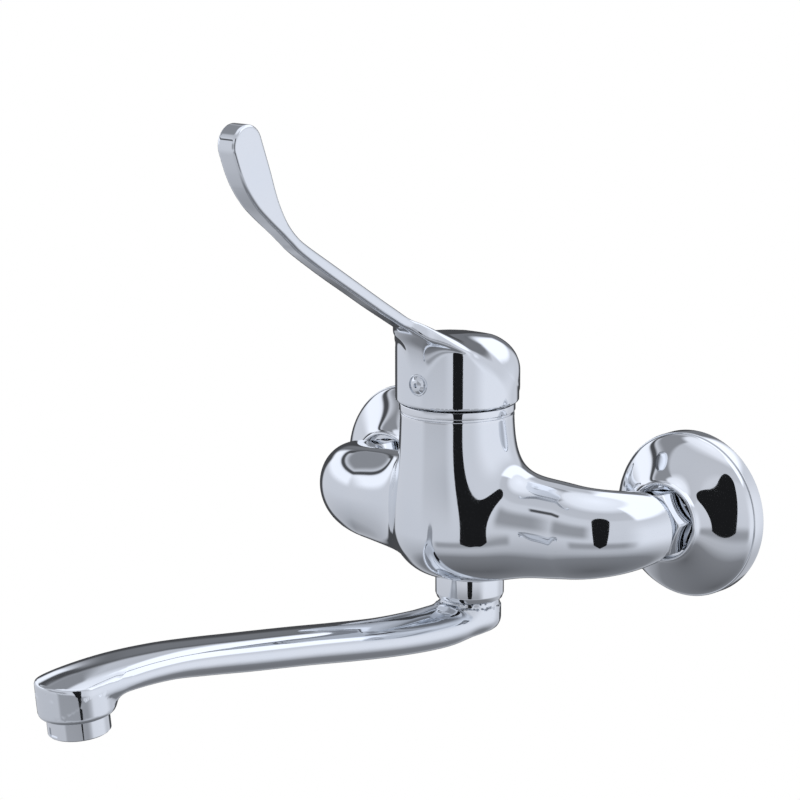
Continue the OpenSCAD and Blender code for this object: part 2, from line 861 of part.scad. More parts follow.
function lever_ring(c, slope, w, t, power) =
  [
    for (j = [0:lever_sides - 1])
      let (p = oval_point(360 * j / lever_sides, t / 2, w / 2, power))
      [-p[0], -c[0] + p[1] * sin(slope), c[1] + p[1] * cos(slope)]
  ];

last_station = len(lever_stations) - 1;

lever_rings = concat(
  [
    for (i = [0:last_station * lever_steps])
      let (s = i / lever_steps, q = lever_at(s))
      lever_ring(q, lever_slope(s), q[2], q[3], 4.5)
  ],
  [
    for (i = [1:tip_steps])
      let (
        a = 84 * i / tip_steps,
        q = lever_at(last_station),
        slope = lever_slope(last_station),
        ahead = blade_w / 2 * sin(a)
      )
      lever_ring(
        [q[0] + ahead * cos(slope), q[1] + ahead * sin(slope)],
        slope, blade_w * cos(a), paddle_t * (0.75 + 0.25 * cos(a)), 4.5
      )
  ]
);

// Room inside the skirt, leaving a square hub for the stem and a boss for the screw and button
module handle_hollow() {
  button_depth = 4;
  difference() {
    union() {
      translate([0, 0, handle_z - 1]) cylinder(r = handle_r - handle_wall, h = roof_z - handle_z + 1);
      translate([0, 0, handle_z]) cylinder(r = dome_hollow_r, h = dome_hollow_z - handle_z);
    }
    translate([0, 0, boss_z]) cylinder(r = boss_r, h = crown_z - boss_z);
    translate([0, 0, screw_z]) rotate([90, 0, 0]) cylinder(r = button_r + 1.3, h = handle_r);
  }
  translate([-stem_w / 2 - thread_fit, -stem_w / 2 - thread_fit, handle_z - 1])
    cube([stem_w + 2 * thread_fit, stem_w + 2 * thread_fit, stem_top_z - handle_z + 1.2]);
  translate([0, 0, screw_z]) rotate([90, 0, 0]) cylinder(r = screw_r + thread_fit, h = handle_r + 2);
  translate([0, -handle_r + button_depth, screw_z]) rotate([90, 0, 0])
    cylinder(r = button_r + thread_fit, h = 2 * button_depth);
}

module lever_handle() {
  color("silver") on_tower() difference() {
    union() {
      hood();
      skin(lever_rings);
    }
    handle_hollow();
  }
}

module grub_screw() {
  screw_l = 10;
  color("dimgray") on_tower() translate([0, -stem_w / 2 - thread_fit, screw_z]) rotate([90, 0, 0])
    difference() {
      cylinder(r = screw_r, h = screw_l);
      translate([0, 0, screw_l - 2.5]) cylinder(r = 1.45, h = 3, $fn = 6);
    }
}

module index_button() {
  depth = 4;
  dome = 0.7;
  color("gainsboro") on_tower() translate([0, -handle_r + depth, screw_z]) rotate([90, 0, 0])
    rotate_extrude()
      polygon([
        [0, 0], [button_r, 0], [button_r, depth - 0.4], [button_r - 0.5, depth],
        [button_r * 0.6, depth + dome * 0.7], [0, depth + dome]
      ]);
}

// Spout

module spout_nut() {
  color("silver") tap() translate([0, -bar_d, 0]) rotate_extrude()
    polygon([
      [spigot_r + thread_fit, -nut_top], [spout_nut_r, -nut_top],
      [spout_nut_r, -spout_nut_z + 3.2], [spout_nut_r - 0.3, -spout_nut_z + 1],
      [spout_nut_r - 0.9, -spout_nut_z], [swivel_r + 0.5, -spout_nut_z],
      [swivel_r + 0.5, -spout_nut_z + nut_lip_t], [spigot_r + thread_fit, -spout_nut_z + nut_lip_t]
    ]);
}

module slip_ring() {
  gap = 1.5;
  color("white") on_spout() difference() {
    translate([0, 0, -spigot_end - running_fit - slip_ring_t])
      cylinder(r = spigot_r, h = slip_ring_t);
    translate([0, 0, -spout_nut_z])
      cylinder(r = swivel_r - groove_depth + thread_fit, h = spout_nut_z);
    translate([-gap / 2, 0, -spout_nut_z]) cube([gap, spout_nut_r, spout_nut_z]);
  }
}

seal_z = [swivel_top + 3, swivel_top + 7];
seal_r = 0.9;

module swivel_seals() {
  color("dimgray") on_spout() for (d = seal_z)
    translate([0, 0, -d]) rotate_extrude() translate([outlet_bore_r - running_fit - seal_r, 0])
      circle(r = seal_r, $fn = 32);
}

// Spout stations: [distance from the swivel axis, centre below the crossbar axis, width, height]
spout_stations = [
  [-0.02 * spout_reach, -45, spout_w - 9, 8],
  [0.015 * spout_reach, -46.5, spout_w - 2.5, 13],
  [0.065 * spout_reach, -47.8, spout_w, 16.4],
  [0.13 * spout_reach, -48.6, spout_w, spout_t + 3.8],
  [0.23 * spout_reach, -47.9, spout_w, spout_t + 2],
  [0.34 * spout_reach, -45.7, spout_w, spout_t + 1.2],
  [0.46 * spout_reach, -42.8, spout_w, spout_t + 1.1],
  [0.6 * spout_reach, -39.5, spout_w, spout_t + 0.9],
  [0.71 * spout_reach, -36.9, spout_w, spout_t],
  [0.8 * spout_reach, -35.7, spout_w + 0.8, spout_t - 0.5],
  [0.9 * spout_reach, -36.2, spout_w + 2.5, spout_t],
  [spout_reach, -38.4, 2 * head_r - 1.5, spout_t]
];
spout_steps = 3;
spout_sides = 28;

function spout_ring(s, shrink, sides) =
  let (
    q = spline(spout_stations, s),
    d = spline(spout_stations, s + 0.01) - spline(spout_stations, s - 0.01),
    slope = atan2(d[1], d[0])
  )
  [
    for (j = [0:sides - 1])
      let (p = oval_point(360 * j / sides, q[2] / 2 - shrink, q[3] / 2 - shrink, 2.7))
      [-p[0], -q[0] + p[1] * sin(slope), q[1] + p[1] * cos(slope)]
  ];

spout_last = len(spout_stations) - 1;

module spout_tube() {
  skin([for (i = [0:spout_last * spout_steps]) spout_ring(i / spout_steps, 0, spout_sides)]);
}

module spout_channel() {
  skin([for (i = [0:spout_last]) spout_ring(i, 2.4, 16)]);
}

module at_outlet() {
  translate([0, -spout_reach, -head_top]) rotate([outlet_tilt, 0, 0]) translate([0, 0, head_top])
    children();
}

module outlet_head() {
  rotate_extrude()
    polygon([
      [0, -head_top + 0.4], [head_r * 0.55, -head_top + 0.2], [head_r - 2.2, -head_top - 0.5],
      [head_r - 0.6, -head_top - 1.6], [head_r, -head_top - 3.4], [head_r, -head_end + 4.5],
      [head_r - 0.5, -head_end + 2], [head_r - 1.6, -head_end + 0.5], [head_r - 2.4, -head_end],
      [0, -head_end]
    ]);
}

module spout() {
  color("silver") on_spout() difference() {
    union() {
      spout_tube();
      at_outlet() outlet_head();
      // Round root with two fine steps below the nut
      rotate_extrude()
        polygon([
          [0, -root_top], [spout_root_r - 1.4, -root_top], [spout_root_r - 1.1, -root_top - 1.2],
          [spout_root_r - 0.5, -root_top - 1.2], [spout_root_r - 0.3, -root_top - 2.6],
          [spout_root_r, -root_top - 2.6], [spout_root_r, -root_end + 1],
          [spout_root_r - 1, -root_end - 2], [spout_root_r - 4, -root_end - 4], [0, -root_end - 5]
        ]);
      translate([0, 0, -root_top - 1]) cylinder(r = swivel_r, h = root_top + 1 - swivel_top);
    }
    spout_channel();
    translate([0, 0, -root_end + 3]) cylinder(r = swivel_r - 2.4, h = root_end);
    at_outlet() translate([0, 0, -head_end - 1]) cylinder(r = chamber_r, h = chamber_depth + 1);
    translate([0, 0, -spigot_end - slip_ring_t - 2 * running_fit]) difference() {
      cylinder(r = swivel_r + 1, h = slip_ring_t + 2 * running_fit);
      cylinder(r = swivel_r - groove_depth, h = slip_ring_t + 2 * running_fit);
    }
    for (d = seal_z) translate([0, 0, -d]) rotate_extrude()
      translate([outlet_bore_r - running_fit - seal_r, 0]) circle(r = seal_r + thread_fit, $fn = 32);
  }
}

// Aerator

washer_seat = head_end - chamber_depth;
aerator_washer_t = 1.6;
insert_top = washer_seat + aerator_washer_t;
insert_r = chamber_r - 1.3;
insert_end = aerator_end - 1.2;

module aerator_washer() {
  color("dimgray") on_spout() at_outlet() translate([0, 0, -insert_top]) difference() {
    cylinder(r = chamber_r - thread_fit, h = aerator_washer_t);
    translate([0, 0, -1]) cylinder(r = insert_r - 3, h = aerator_washer_t + 2);
  }
}

module aerator_insert() {
  hole_r = 1.1;
  color("whitesmoke") on_spout() at_outlet() translate([0, 0, -insert_end]) difference() {
    cylinder(r = insert_r - thread_fit, h = insert_end - insert_top);
    translate([0, 0, -1]) {
      cylinder(r = hole_r, h = insert_end);
      for (ring = [1, 2], i = [0:6 * ring - 1])
        rotate([0, 0, 60 * i / ring]) translate([3.6 * ring, 0, 0]) cylinder(r = hole_r, h = insert_end);
    }
  }
}

module aerator_shell() {
  key_w = 5;
  key_h = 3.5;
  color("silver") on_spout() at_outlet() difference() {
    union() {
      translate([0, 0, -aerator_end]) rotate_extrude()
        polygon([
          [0, 0], [aerator_r - 0.5, 0], [aerator_r, 0.5], [aerator_r, aerator_h - 0.3],
          [aerator_r - 0.3, aerator_h], [0, aerator_h]
        ]);
      translate([0, 0, -head_end])
        cylinder(r = chamber_r - thread_fit, h = chamber_depth - aerator_washer_t);
    }
    translate([0, 0, -aerator_end + 1.2]) cylinder(r = insert_r, h = aerator_end);
    translate([0, 0, -aerator_end - 1]) cylinder(r = insert_r - 1.2, h = 4);
    for (a = [0, 180]) rotate([0, 0, a]) translate([-key_w / 2, aerator_r - 0.6, -aerator_end + 1.2])
      cube([key_w, 2, key_h]);
  }
}

s_union_left();
s_union_right();
wall_flange_left();
wall_flange_right();
union_washer_left();
union_washer_right();
union_nut_left();
union_nut_right();
inlet_tail_left();
inlet_tail_right();
mixer_body();
cartridge_seals();
cartridge_base();
fixed_disc();
cartridge_housing();
retaining_nut();
trim_ring();
stem_guide();
pivot_pin();
moving_disc();
disc_carrier();
stem();
lever_handle();
grub_screw();
index_button();
spout_nut();
slip_ring();
swivel_seals();
spout();
aerator_washer();
aerator_insert();
aerator_shell();
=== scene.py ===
"""Looks of the elbow lever tap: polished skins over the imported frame, studio, lamps and camera."""
import json
import math

import bpy
import numpy as np
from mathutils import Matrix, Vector


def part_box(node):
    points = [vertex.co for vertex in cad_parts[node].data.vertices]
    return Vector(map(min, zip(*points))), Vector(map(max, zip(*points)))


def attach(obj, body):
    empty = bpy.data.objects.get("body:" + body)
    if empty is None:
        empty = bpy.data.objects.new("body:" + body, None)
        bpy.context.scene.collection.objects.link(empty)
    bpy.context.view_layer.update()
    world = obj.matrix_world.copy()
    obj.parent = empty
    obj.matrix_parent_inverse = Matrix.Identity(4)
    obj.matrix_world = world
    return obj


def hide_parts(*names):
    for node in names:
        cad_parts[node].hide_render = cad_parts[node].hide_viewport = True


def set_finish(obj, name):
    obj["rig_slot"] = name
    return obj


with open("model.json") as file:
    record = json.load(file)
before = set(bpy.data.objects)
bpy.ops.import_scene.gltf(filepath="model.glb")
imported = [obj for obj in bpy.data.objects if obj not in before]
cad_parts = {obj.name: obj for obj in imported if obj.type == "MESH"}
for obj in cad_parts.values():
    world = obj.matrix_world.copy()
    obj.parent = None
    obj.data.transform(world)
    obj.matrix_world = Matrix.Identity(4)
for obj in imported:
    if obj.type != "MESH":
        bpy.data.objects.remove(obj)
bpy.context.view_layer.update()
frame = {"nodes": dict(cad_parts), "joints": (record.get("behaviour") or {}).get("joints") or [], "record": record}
nodes = frame["nodes"]

MM = 0.001
SIDES = {-1: "left", 1: "right"}


# Driving places, read from the frame. The object's lengths are in millimetres until link() turns them to
# metres. Heights count from the crossbar's axis: up for the tower, ring and handle, down for the rest.

def centre_of(node):
    low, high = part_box(node)
    return np.array((low + high) / 2) / MM


def size_of(node):
    low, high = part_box(node)
    return np.array(high - low) / MM


def joint_place(name):
    return np.array(next(j for j in frame["joints"] if j["name"] == name)["pos_m"]) / MM


SUPPLY_X = centre_of("inlet_tail_right")[0]
BAR_Z = centre_of("inlet_tail_right")[2]
TOWER_Y = joint_place("temperature_swing")[1]
SPOUT_Y = joint_place("spout_swivel")[1]
FLANGE_R = size_of("wall_flange_right")[0] / 2
RING_SHOWN = 4.8
TOWER_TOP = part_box("trim_ring")[1].z / MM - BAR_Z - RING_SHOWN
HANDLE_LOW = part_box("lever_handle")[0].z / MM - BAR_Z
BODY_END = -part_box("mixer_body")[1].y / MM
SPOUT_TURN = math.radians(10)


# Field arithmetic: a field is negative inside the solid, and its size is near the distance in mm

def soft_min(a, b, k):
    """Union of two fields with a fillet about half as large as k."""
    h = np.maximum(k - np.abs(a - b), 0) / k
    return np.minimum(a, b) - h ** 3 * k / 6


def soft_max(a, b, k):
    """Intersection of two fields with a rounded edge."""
    return -soft_min(-a, -b, k)


def round_max(a, b, r):
    """Intersection of two fields whose edge is a true arc of radius r."""
    outside = np.hypot(np.maximum(a + r, 0), np.maximum(b + r, 0))
    return np.minimum(np.maximum(a, b), -r) + outside


def oval(u, v, a, b, power):
    """Superellipse with half sizes a and b."""
    norm = (np.abs(u / a) ** power + np.abs(v / b) ** power) ** (1 / power)
    return (norm - 1) * np.minimum(a, b)


def mix(a, b, t):
    """Linear blend from a at t = 0 to b at t = 1."""
    return a * (1 - t) + b * t


def smooth(t):
    """Soft step from 0 to 1 while t goes from 0 to 1."""
    t = np.clip(t, 0, 1)
    return t * t * (3 - 2 * t)


def slab(v, low, high):
    """Everything with v between low and high."""
    return np.maximum(low - v, v - high)


def rod(r, radius, v, low, high):
    """Round bar: r is the distance from its axis and v the place along it."""
    return np.maximum(r - radius, slab(v, low, high))


def lean(slope):
    """Factor from the height above a sloping plane to the distance from it."""
    return math.cos(math.atan(slope))


# Meshes from fields

TINY = 1e-9
FLATTEST = 0.05


def gradient(field, points, step=0.02):
    """Central differences of a field."""
    parts = []
    for axis in np.eye(3):
        parts.append(field(points + axis * step) - field(points - axis * step))
    return np.stack(parts, -1) / (2 * step)


def settled(field, points, reach, rounds=3):
    """Points moved along the gradient onto field = 0, each round by no more than reach."""
    for _ in range(rounds):
        slope = gradient(field, points)
        square = np.maximum((slope ** 2).sum(1), FLATTEST)
        move = (field(points) / square)[:, None] * slope
        length = np.maximum(np.linalg.norm(move, axis=1), TINY)
        points = points - move * np.minimum(1, reach / length)[:, None]
    return points


def surface_net(field, low, high, cell):
    """Points and quads of the closed surface field = 0 inside a box, with a point in each cell it crosses."""
    axes = [np.arange(a, b + cell, cell) for a, b in zip(low, high)]
    grid = np.stack(np.meshgrid(*axes, indexing="ij"), -1)
    value = field(grid.reshape(-1, 3)).reshape(grid.shape[:3])
    inside = value < 0
    cells = np.array(inside.shape) - 1
    total = np.zeros((cells.prod(), 3))
    count = np.zeros(cells.prod())
    corners = []
    for d in range(3):
        e, f = (d + 1) % 3, (d + 2) % 3
        near, far = np.take(inside, range(cells[d]), d), np.take(inside, range(1, cells[d] + 1), d)
        at = np.argwhere(near != far)
        ahead = np.eye(3, dtype=int)[d]
        v0, v1 = value[tuple(at.T)], value[tuple((at + ahead).T)]
        place = at + ahead * (v0 / (v0 - v1))[:, None]
        around = []
        for de, df in ((-1, -1), (0, -1), (0, 0), (-1, 0)):
            shift = np.zeros(3, int)
            shift[e], shift[f] = de, df
            index = np.ravel_multi_index(tuple((at + shift).T), tuple(cells))
            around.append(index)
            for k in range(3):
                total[:, k] += np.bincount(index, place[:, k], len(count))
            count += np.bincount(index, minlength=len(count))
        quad = np.stack(around, 1)
        outward = inside[tuple(at.T)]
        corners.append(np.where(outward[:, None], quad, quad[:, ::-1]))
    used = np.flatnonzero(count)
    number = np.full(len(count), -1)
    number[used] = np.arange(len(used))
    points = np.array(low) + total[used] / count[used, None] * cell
    return points, number[np.concatenate(corners)]


def link(name, points, faces, body, slot, replaced):
    """Mesh object from points in mm in the part's frame, on its CAD body, for its CAD nodes."""
    mesh = bpy.data.meshes.new(name)
    mesh.from_pydata((np.array(points) * MM).tolist(), [], np.array(faces).tolist())
    mesh.validate()
    obj = bpy.data.objects.new(name, mesh)
    bpy.context.scene.collection.objects.link(obj)
    obj.data.shade_smooth()
    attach(obj, body)
    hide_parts(*replaced)
    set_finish(obj, slot)
    return obj


def skin(name, field, low, high, cell, body, slot, replaced):
    """A field's surface with its exact normals."""
    points, faces = surface_net(field, low, high, cell)
    points = settled(field, points, cell / 2)
    normals = gradient(field, points)
    normals /= np.maximum(np.linalg.norm(normals, axis=1), TINY)[:, None]
    obj = link(name, points, faces, body, slot, replaced)
    obj.data.normals_split_custom_set_from_vertices(normals.tolist())
    return obj


# Lathe work

def rounded(corners, steps=5):
    """Outline of (radius, height, rounding) corners, each rounding an arc between its two edges."""
    outline = []
    for i, (r, h, rounding) in enumerate(corners):
        here = np.array([r, h], float)
        if rounding == 0:
            outline.append(here)
            continue
        before = np.array(corners[i - 1][:2], float) - here
        after = np.array(corners[(i + 1) % len(corners)][:2], float) - here
        before /= np.linalg.norm(before)
        after /= np.linalg.norm(after)
        half = math.acos(np.clip(before @ after, -1, 1)) / 2
        middle = here + (before + after) / np.linalg.norm(before + after) * rounding / math.sin(half)
        start = here + before * rounding / math.tan(half) - middle
        end = here + after * rounding / math.tan(half) - middle
        for k in range(steps + 1):
            way = mix(start, end, k / steps)
            outline.append(middle + way / np.linalg.norm(way) * rounding)
    return np.array(outline)


def lathe(name, outline, place, body, slot, replaced, turns=192, edge=30):
    """Closed outline of (radius, height) turned about an axis, which place puts into the part's frame."""
    angle = np.arange(turns) / turns * 2 * math.pi
    n = len(outline)
    local = np.stack([
        np.outer(np.cos(angle), outline[:, 0]),
        np.outer(np.sin(angle), outline[:, 0]),
        np.outer(np.ones(turns), outline[:, 1]),
    ], -1).reshape(-1, 3)
    faces = [
        [i * n + j, (i + 1) % turns * n + j, (i + 1) % turns * n + (j + 1) % n, i * n + (j + 1) % n]
        for i in range(turns) for j in range(n)
    ]
    obj = link(name, place(local), faces, body, slot, replaced)
    obj.data.set_sharp_from_angle(angle=math.radians(edge))
    return obj


def upright(x, y):
    """Axis up through (x, y), heights counted from the crossbar's axis."""
    return lambda p: p + np.array([x, y, BAR_Z])


def from_wall(x):
    """Axis out of the wall at a union, heights counted from the wall."""
    return lambda p: np.stack([p[:, 0] + x, -p[:, 2], p[:, 1] + BAR_Z], -1)


def from_cap_front(front, up):
    """Axis towards the user in the tap's middle plane, heights counted from y = front."""
    return lambda p: np.stack([p[:, 0], front - p[:, 2], p[:, 1] + BAR_Z + up], -1)


# Body casting

BAR_END_R = 15.6
BAR_TOP = 20
BAR_TOP_TAPER = 2.4
BAR_UNDER = 25.2
BAR_UNDER_TAPER = 1.9
BAR_HALF_DEPTH = 18.5
BAR_AHEAD = 2.5
BAR_POWER = 2.3
ELBOW_R = 21.8
BEND_X = SUPPLY_X - ELBOW_R
RIM_ROUND = 1.3
ELBOW_END = math.acos((BODY_END + RIM_ROUND + SPOUT_Y + ELBOW_R) / ELBOW_R)
HALF_RUN = BEND_X + ELBOW_R * ELBOW_END
TOWER_TOP_R = 23.8
TOWER_FOOT_R = 25.2
TOWER_TAPER = (-0.6, 1.2)
TOWER_EDGE = 0.4
BELLY = 24.6
BELLY_ROUND = 19
TOWER_FILLET = 21
NUT_BOSS_R = 14.1
NUT_BOSS_LOW = 26.5
NUT_BOSS_FILLET = 2.5
SPIGOT_R = 12.2
SPIGOT_LOW = 33.3
SPIGOT_BORE_R = 9.9
SPIGOT_BORE_TOP = 17
TOWER_BORE_R = 21.65
TOWER_BORE_LOW = 29.8
CARTRIDGE_R = 20.05
CARTRIDGE_LOW = 8
TAIL_R = 8.65
TAIL_DEPTH = 9
PAST_ALL = 60
BODY_BOX = (-94, -94, BAR_Z - 36), (94, 3 - BODY_END, BAR_Z + TOWER_TOP + 3)
BODY_CELL = 0.9


def crossbar(x, y, z):
    """Crossbar with its two elbows, swelling towards the tower and most on its underside."""
    x = np.abs(x)
    elbow_y = SPOUT_Y + ELBOW_R
    ex, ey = x - BEND_X, elbow_y - y
    turn = np.arctan2(np.maximum(ex, 0), np.maximum(ey, 1e-6))
    straight = x <= BEND_X
    run = np.where(straight, x, BEND_X + ELBOW_R * turn)
    side = np.where(straight, ey, np.hypot(ex, ey)) - ELBOW_R
    k = np.clip(run / HALF_RUN, 0, 1)
    top = BAR_END_R + (BAR_TOP - BAR_END_R) * (1 - k ** BAR_TOP_TAPER)
    under = BAR_END_R + (BAR_UNDER - BAR_END_R) * (1 - k ** BAR_UNDER_TAPER)
    roundness = smooth(1.5 * k)
    half_depth = mix(BAR_HALF_DEPTH, BAR_END_R, roundness)
    ahead = BAR_AHEAD * (1 - smooth(x / BEND_X))
    power = mix(BAR_POWER, 2, roundness)
    bar = oval(side - ahead, z + (under - top) / 2, half_depth, (top + under) / 2, power)
    return round_max(bar, y + BODY_END, RIM_ROUND)


def tower(radius, z):
    """Tapered tower with its round belly."""
    taper = mix(TOWER_FOOT_R, TOWER_TOP_R, np.clip(z / TOWER_TOP, *TOWER_TAPER))
    form = round_max(radius - taper, -BELLY - z, BELLY_ROUND)
    return round_max(form, z - TOWER_TOP, TOWER_EDGE)


def body_field(p):
    """Body casting with its bores for the cartridge, the spout's swivel and the two inlet tails."""
    x, y, z = p[:, 0], p[:, 1], p[:, 2] - BAR_Z
    radius = np.hypot(x, y - TOWER_Y)
    form = soft_min(crossbar(x, y, z), tower(radius, z), TOWER_FILLET)
    nut_radius = np.hypot(x, y - SPOUT_Y)
    boss = rod(nut_radius, NUT_BOSS_R, z, -NUT_BOSS_LOW, 0)
    form = soft_min(form, boss, NUT_BOSS_FILLET)
    form = np.minimum(form, rod(nut_radius, SPIGOT_R, z, -SPIGOT_LOW, 0))
    tail_radius = np.hypot(np.abs(x) - SUPPLY_X, z)
    bores = (
        rod(radius, TOWER_BORE_R, z, TOWER_BORE_LOW, PAST_ALL),
        rod(radius, CARTRIDGE_R, z, CARTRIDGE_LOW, PAST_ALL),
        rod(nut_radius, SPIGOT_BORE_R, z, -PAST_ALL, -SPIGOT_BORE_TOP),
        rod(tail_radius, TAIL_R, -y, BODY_END - 3, BODY_END + TAIL_DEPTH),
    )
    return np.maximum(form, -np.minimum.reduce(bores))


def make_body():
    return skin("body_casting", body_field, *BODY_BOX, BODY_CELL, "mixer", "body_chrome", ["mixer_body"])


# Lever and cap

CAP_R = 25.8
CROWN = 76.2
CROWN_SLOPE = 0.1
CROWN_FILLET = 9
RIDGE = 1.2
RIDGE_HALF = 6
FACET_SLOPE = 0.7
FACET_BEND = 3
FACET_BACK = 23
FACET_FADE = 26
LEVER_T = 8.3
PADDLE_T = 9.5
LEVER_EDGE = 1.4
LEVER_BOX = 14
PADDLE_FROM = 7
PADDLE_FADE = 4
FLARE = 28
UNDER_EDGE = 2
HOOD_FILLETS = (0.3, 17)
HOOD_FADE = 6
SHOULDER = 11.8
SHOULDER_BACK = 2
SHOULDER_FADE = 34
CAP_RIM_EDGE = 0.8
JOIN_START = 32
JOIN_LENGTH = 10
HUB_R = 8
HUB_LOW = 1.5
HOLLOW_R = 23.4
HOLLOW_H = 9.5
RIM_HOLLOW_R = 24.4
RIM_HOLLOW_H = 1.6
SCREW_BOSS_R = 5.9
SCREW_H = 10
SOCKET_HALF = 4.05
SOCKET_DEPTH = 6.1
HANDLE_BOX = 28
HANDLE_CELL = 0.75
FAR = 30.0
CHUNK = 200000
NUDGE = 0.01

# Sloping planes between which the cap narrows into the lever: height at the tower's axis, and slope
FLARE_UNDER = (62, 0.6)
FLARE_TOP = (66.9, 0.6)

# Lever centre line: (ahead of the tower axis, above the crossbar axis, width seen from the side)
LEVER_LINE = np.array([
    (14, 73, 4.4), (27, 80.6, 4.6), (41.1, 89, 4.8), (54, 96.6, 5), (65.8, 103.8, 5.1), (82.8, 114.2, 5.2),
    (98.9, 124.4, 4.7), (105.2, 129.3, 4.5), (110.8, 134.6, 5.6), (116.5, 140.9, 8.6), (121.6, 147.6, 12.2),
    (125.7, 154.6, 14.9), (128.9, 161.2, 16), (132, 169, 16.1),
])


def lever_curve(t):
    """Centre line point and width at t from 0 to the last station, by a Catmull-Rom curve."""
    last = len(LEVER_LINE) - 1
    i = np.clip(np.floor(t).astype(int), 0, last - 1)
    u = (t - i)[:, None]
    p = [LEVER_LINE[np.clip(i + k, 0, last)] for k in (-1, 0, 1, 2)]
    return (
        2 * p[1] + (p[2] - p[0]) * u + (2 * p[0] - 5 * p[1] + 4 * p[2] - p[3]) * u ** 2
        + (3 * p[1] - p[0] - 3 * p[2] + p[3]) * u ** 3
    ) / 2


def lever_plate(x, s, z):
    """Flat lever with rounded edges, a strip of changing width along its centre line. Far away it is FAR."""
    last = len(LEVER_LINE) - 1
    t = np.linspace(0, last, 8 * last + 1)
    line = lever_curve(t)
    place = np.stack([s, z], -1)
    field = np.full(len(x), FAR)
    nearby = np.flatnonzero((np.abs(x) < LEVER_BOX) & (s > 0))
    for part in np.array_split(nearby, len(nearby) // CHUNK + 1):
        q = place[part]
        square = (q ** 2).sum(1)[:, None] - 2 * q @ line[:, :2].T + (line[:, :2] ** 2).sum(1)
        best = t[square.argmin(1)]
        for _ in range(2):
            here = lever_curve(best)
            ahead = lever_curve(np.clip(best + NUDGE, 0, last))
            behind = lever_curve(np.clip(best - NUDGE, 0, last))
            way = (ahead - behind)[:, :2]
            step = ((q - here[:, :2]) * way).sum(1) / (way ** 2).sum(1) * 2 * NUDGE
            best = np.clip(best + step, 0, last)
        here = lever_curve(best)
        across = np.linalg.norm(q - here[:, :2], axis=1) - here[:, 2] / 2
        thick = mix(LEVER_T, PADDLE_T, smooth((best - PADDLE_FROM) / PADDLE_FADE)) / 2
        field[part] = round_max(across, np.abs(x[part]) - thick, LEVER_EDGE)
    return field


def cap_top(x, s, z):
    """Crown that climbs into the lever's top edge, with a facet falling away on each side of its ridge."""
    facet = smooth((s + FACET_BACK) / FACET_FADE)
    aside = np.maximum(np.abs(x) - RIDGE_HALF, 0)
    fall = FACET_SLOPE * (np.sqrt(aside ** 2 + FACET_BEND ** 2) - FACET_BEND)
    crown = (z - CROWN - CROWN_SLOPE * s + (fall - RIDGE) * facet) * mix(1, lean(FACET_SLOPE), facet)
    ramp = (z - FLARE_TOP[0] - FLARE_TOP[1] * s) * lean(FLARE_TOP[1])
    return soft_min(crown, ramp, CROWN_FILLET)


def cap(x, s, z, radius):
    """Round skirt under a hood that narrows into the lever, with a shoulder that is softest at the back."""
    skirt = radius - CAP_R
    strip = np.maximum(np.abs(x) - LEVER_T / 2, -s)
    hood = soft_min(skirt, strip, FLARE)
    under = (FLARE_UNDER[0] + FLARE_UNDER[1] * s - z) * lean(FLARE_UNDER[1])
    fillet = HOOD_FILLETS[0] + HOOD_FILLETS[1] * smooth((skirt - hood) / HOOD_FADE)
    side = soft_min(skirt, soft_max(hood, under, UNDER_EDGE), fillet)
    shoulder = mix(SHOULDER, LEVER_EDGE, smooth((s + SHOULDER_BACK) / SHOULDER_FADE))
    form = round_max(side, cap_top(x, s, z), shoulder)
    return round_max(form, HANDLE_LOW - z, CAP_RIM_EDGE)


def handle_field(p):
    """Cap and lever as one solid, hollow under the cap around a hub with the stem's square socket."""
    x, s, z = p[:, 0], TOWER_Y - p[:, 1], p[:, 2] - BAR_Z
    above_rim = z - HANDLE_LOW
    radius = np.hypot(x, s)
    form = mix(cap(x, s, z, radius), lever_plate(x, s, z), smooth((s - JOIN_START) / JOIN_LENGTH))
    hollow = rod(radius, HOLLOW_R, z, 0, HANDLE_LOW + HOLLOW_H)
    hollow = np.minimum(hollow, rod(radius, RIM_HOLLOW_R, z, 0, HANDLE_LOW + RIM_HOLLOW_H))
    screw_boss = rod(np.hypot(x, above_rim - SCREW_H), SCREW_BOSS_R, s, 0, PAST_ALL)
    hub = np.minimum(radius - HUB_R, screw_boss)
    hollow = np.maximum(hollow, -np.maximum(hub, HUB_LOW - above_rim))
    square = np.maximum(np.abs(x), np.abs(s)) - SOCKET_HALF
    socket = np.maximum(square, above_rim - HOLLOW_H - SOCKET_DEPTH)
    return np.maximum(form, -np.minimum(hollow, socket))


def make_handle():
    end_s, end_z, end_width = LEVER_LINE[-1]
    tip_s, tip_z = end_s + end_width / 2, end_z + end_width / 2
    low = (-HANDLE_BOX, TOWER_Y - tip_s - 2, BAR_Z + HANDLE_LOW - 2)
    high = (HANDLE_BOX, TOWER_Y + HANDLE_BOX, BAR_Z + tip_z + 2)
    return skin(
        "lever_and_cap", handle_field, low, high, HANDLE_CELL, "lever", "handle_chrome", ["lever_handle"],
    )


# Spout

HEAD_R = 15.4
HEAD_LOW = 49
HEAD_HIGH = 34
HEAD_ROOF = 5
HEAD_TOP_EDGE = 1.1
HEAD_LOW_EDGE = 2.2
HEAD_FILLETS = (0.2, 7)
HEAD_BACK = 6
HEAD_FADE = 8
OUTLET_TILT = math.radians(6.5)
CHAMBER_R = 11.6
CHAMBER_H = 9
TUBE_POWER = 2.25
TUBE_BACK = 4
ROOT_R = 13.4
ROOT_LOW = 52
ROOT_HIGH = 38
ROOT_STEP = 2.6
ROOT_EDGE = 6
ROOT_FILLET = 5
NECK_R = 12.7
NUT_ROOM_R = 17
SWIVEL_R = 9.5
SWIVEL_HIGH = 21.3
SPOUT_CELL = 1.0

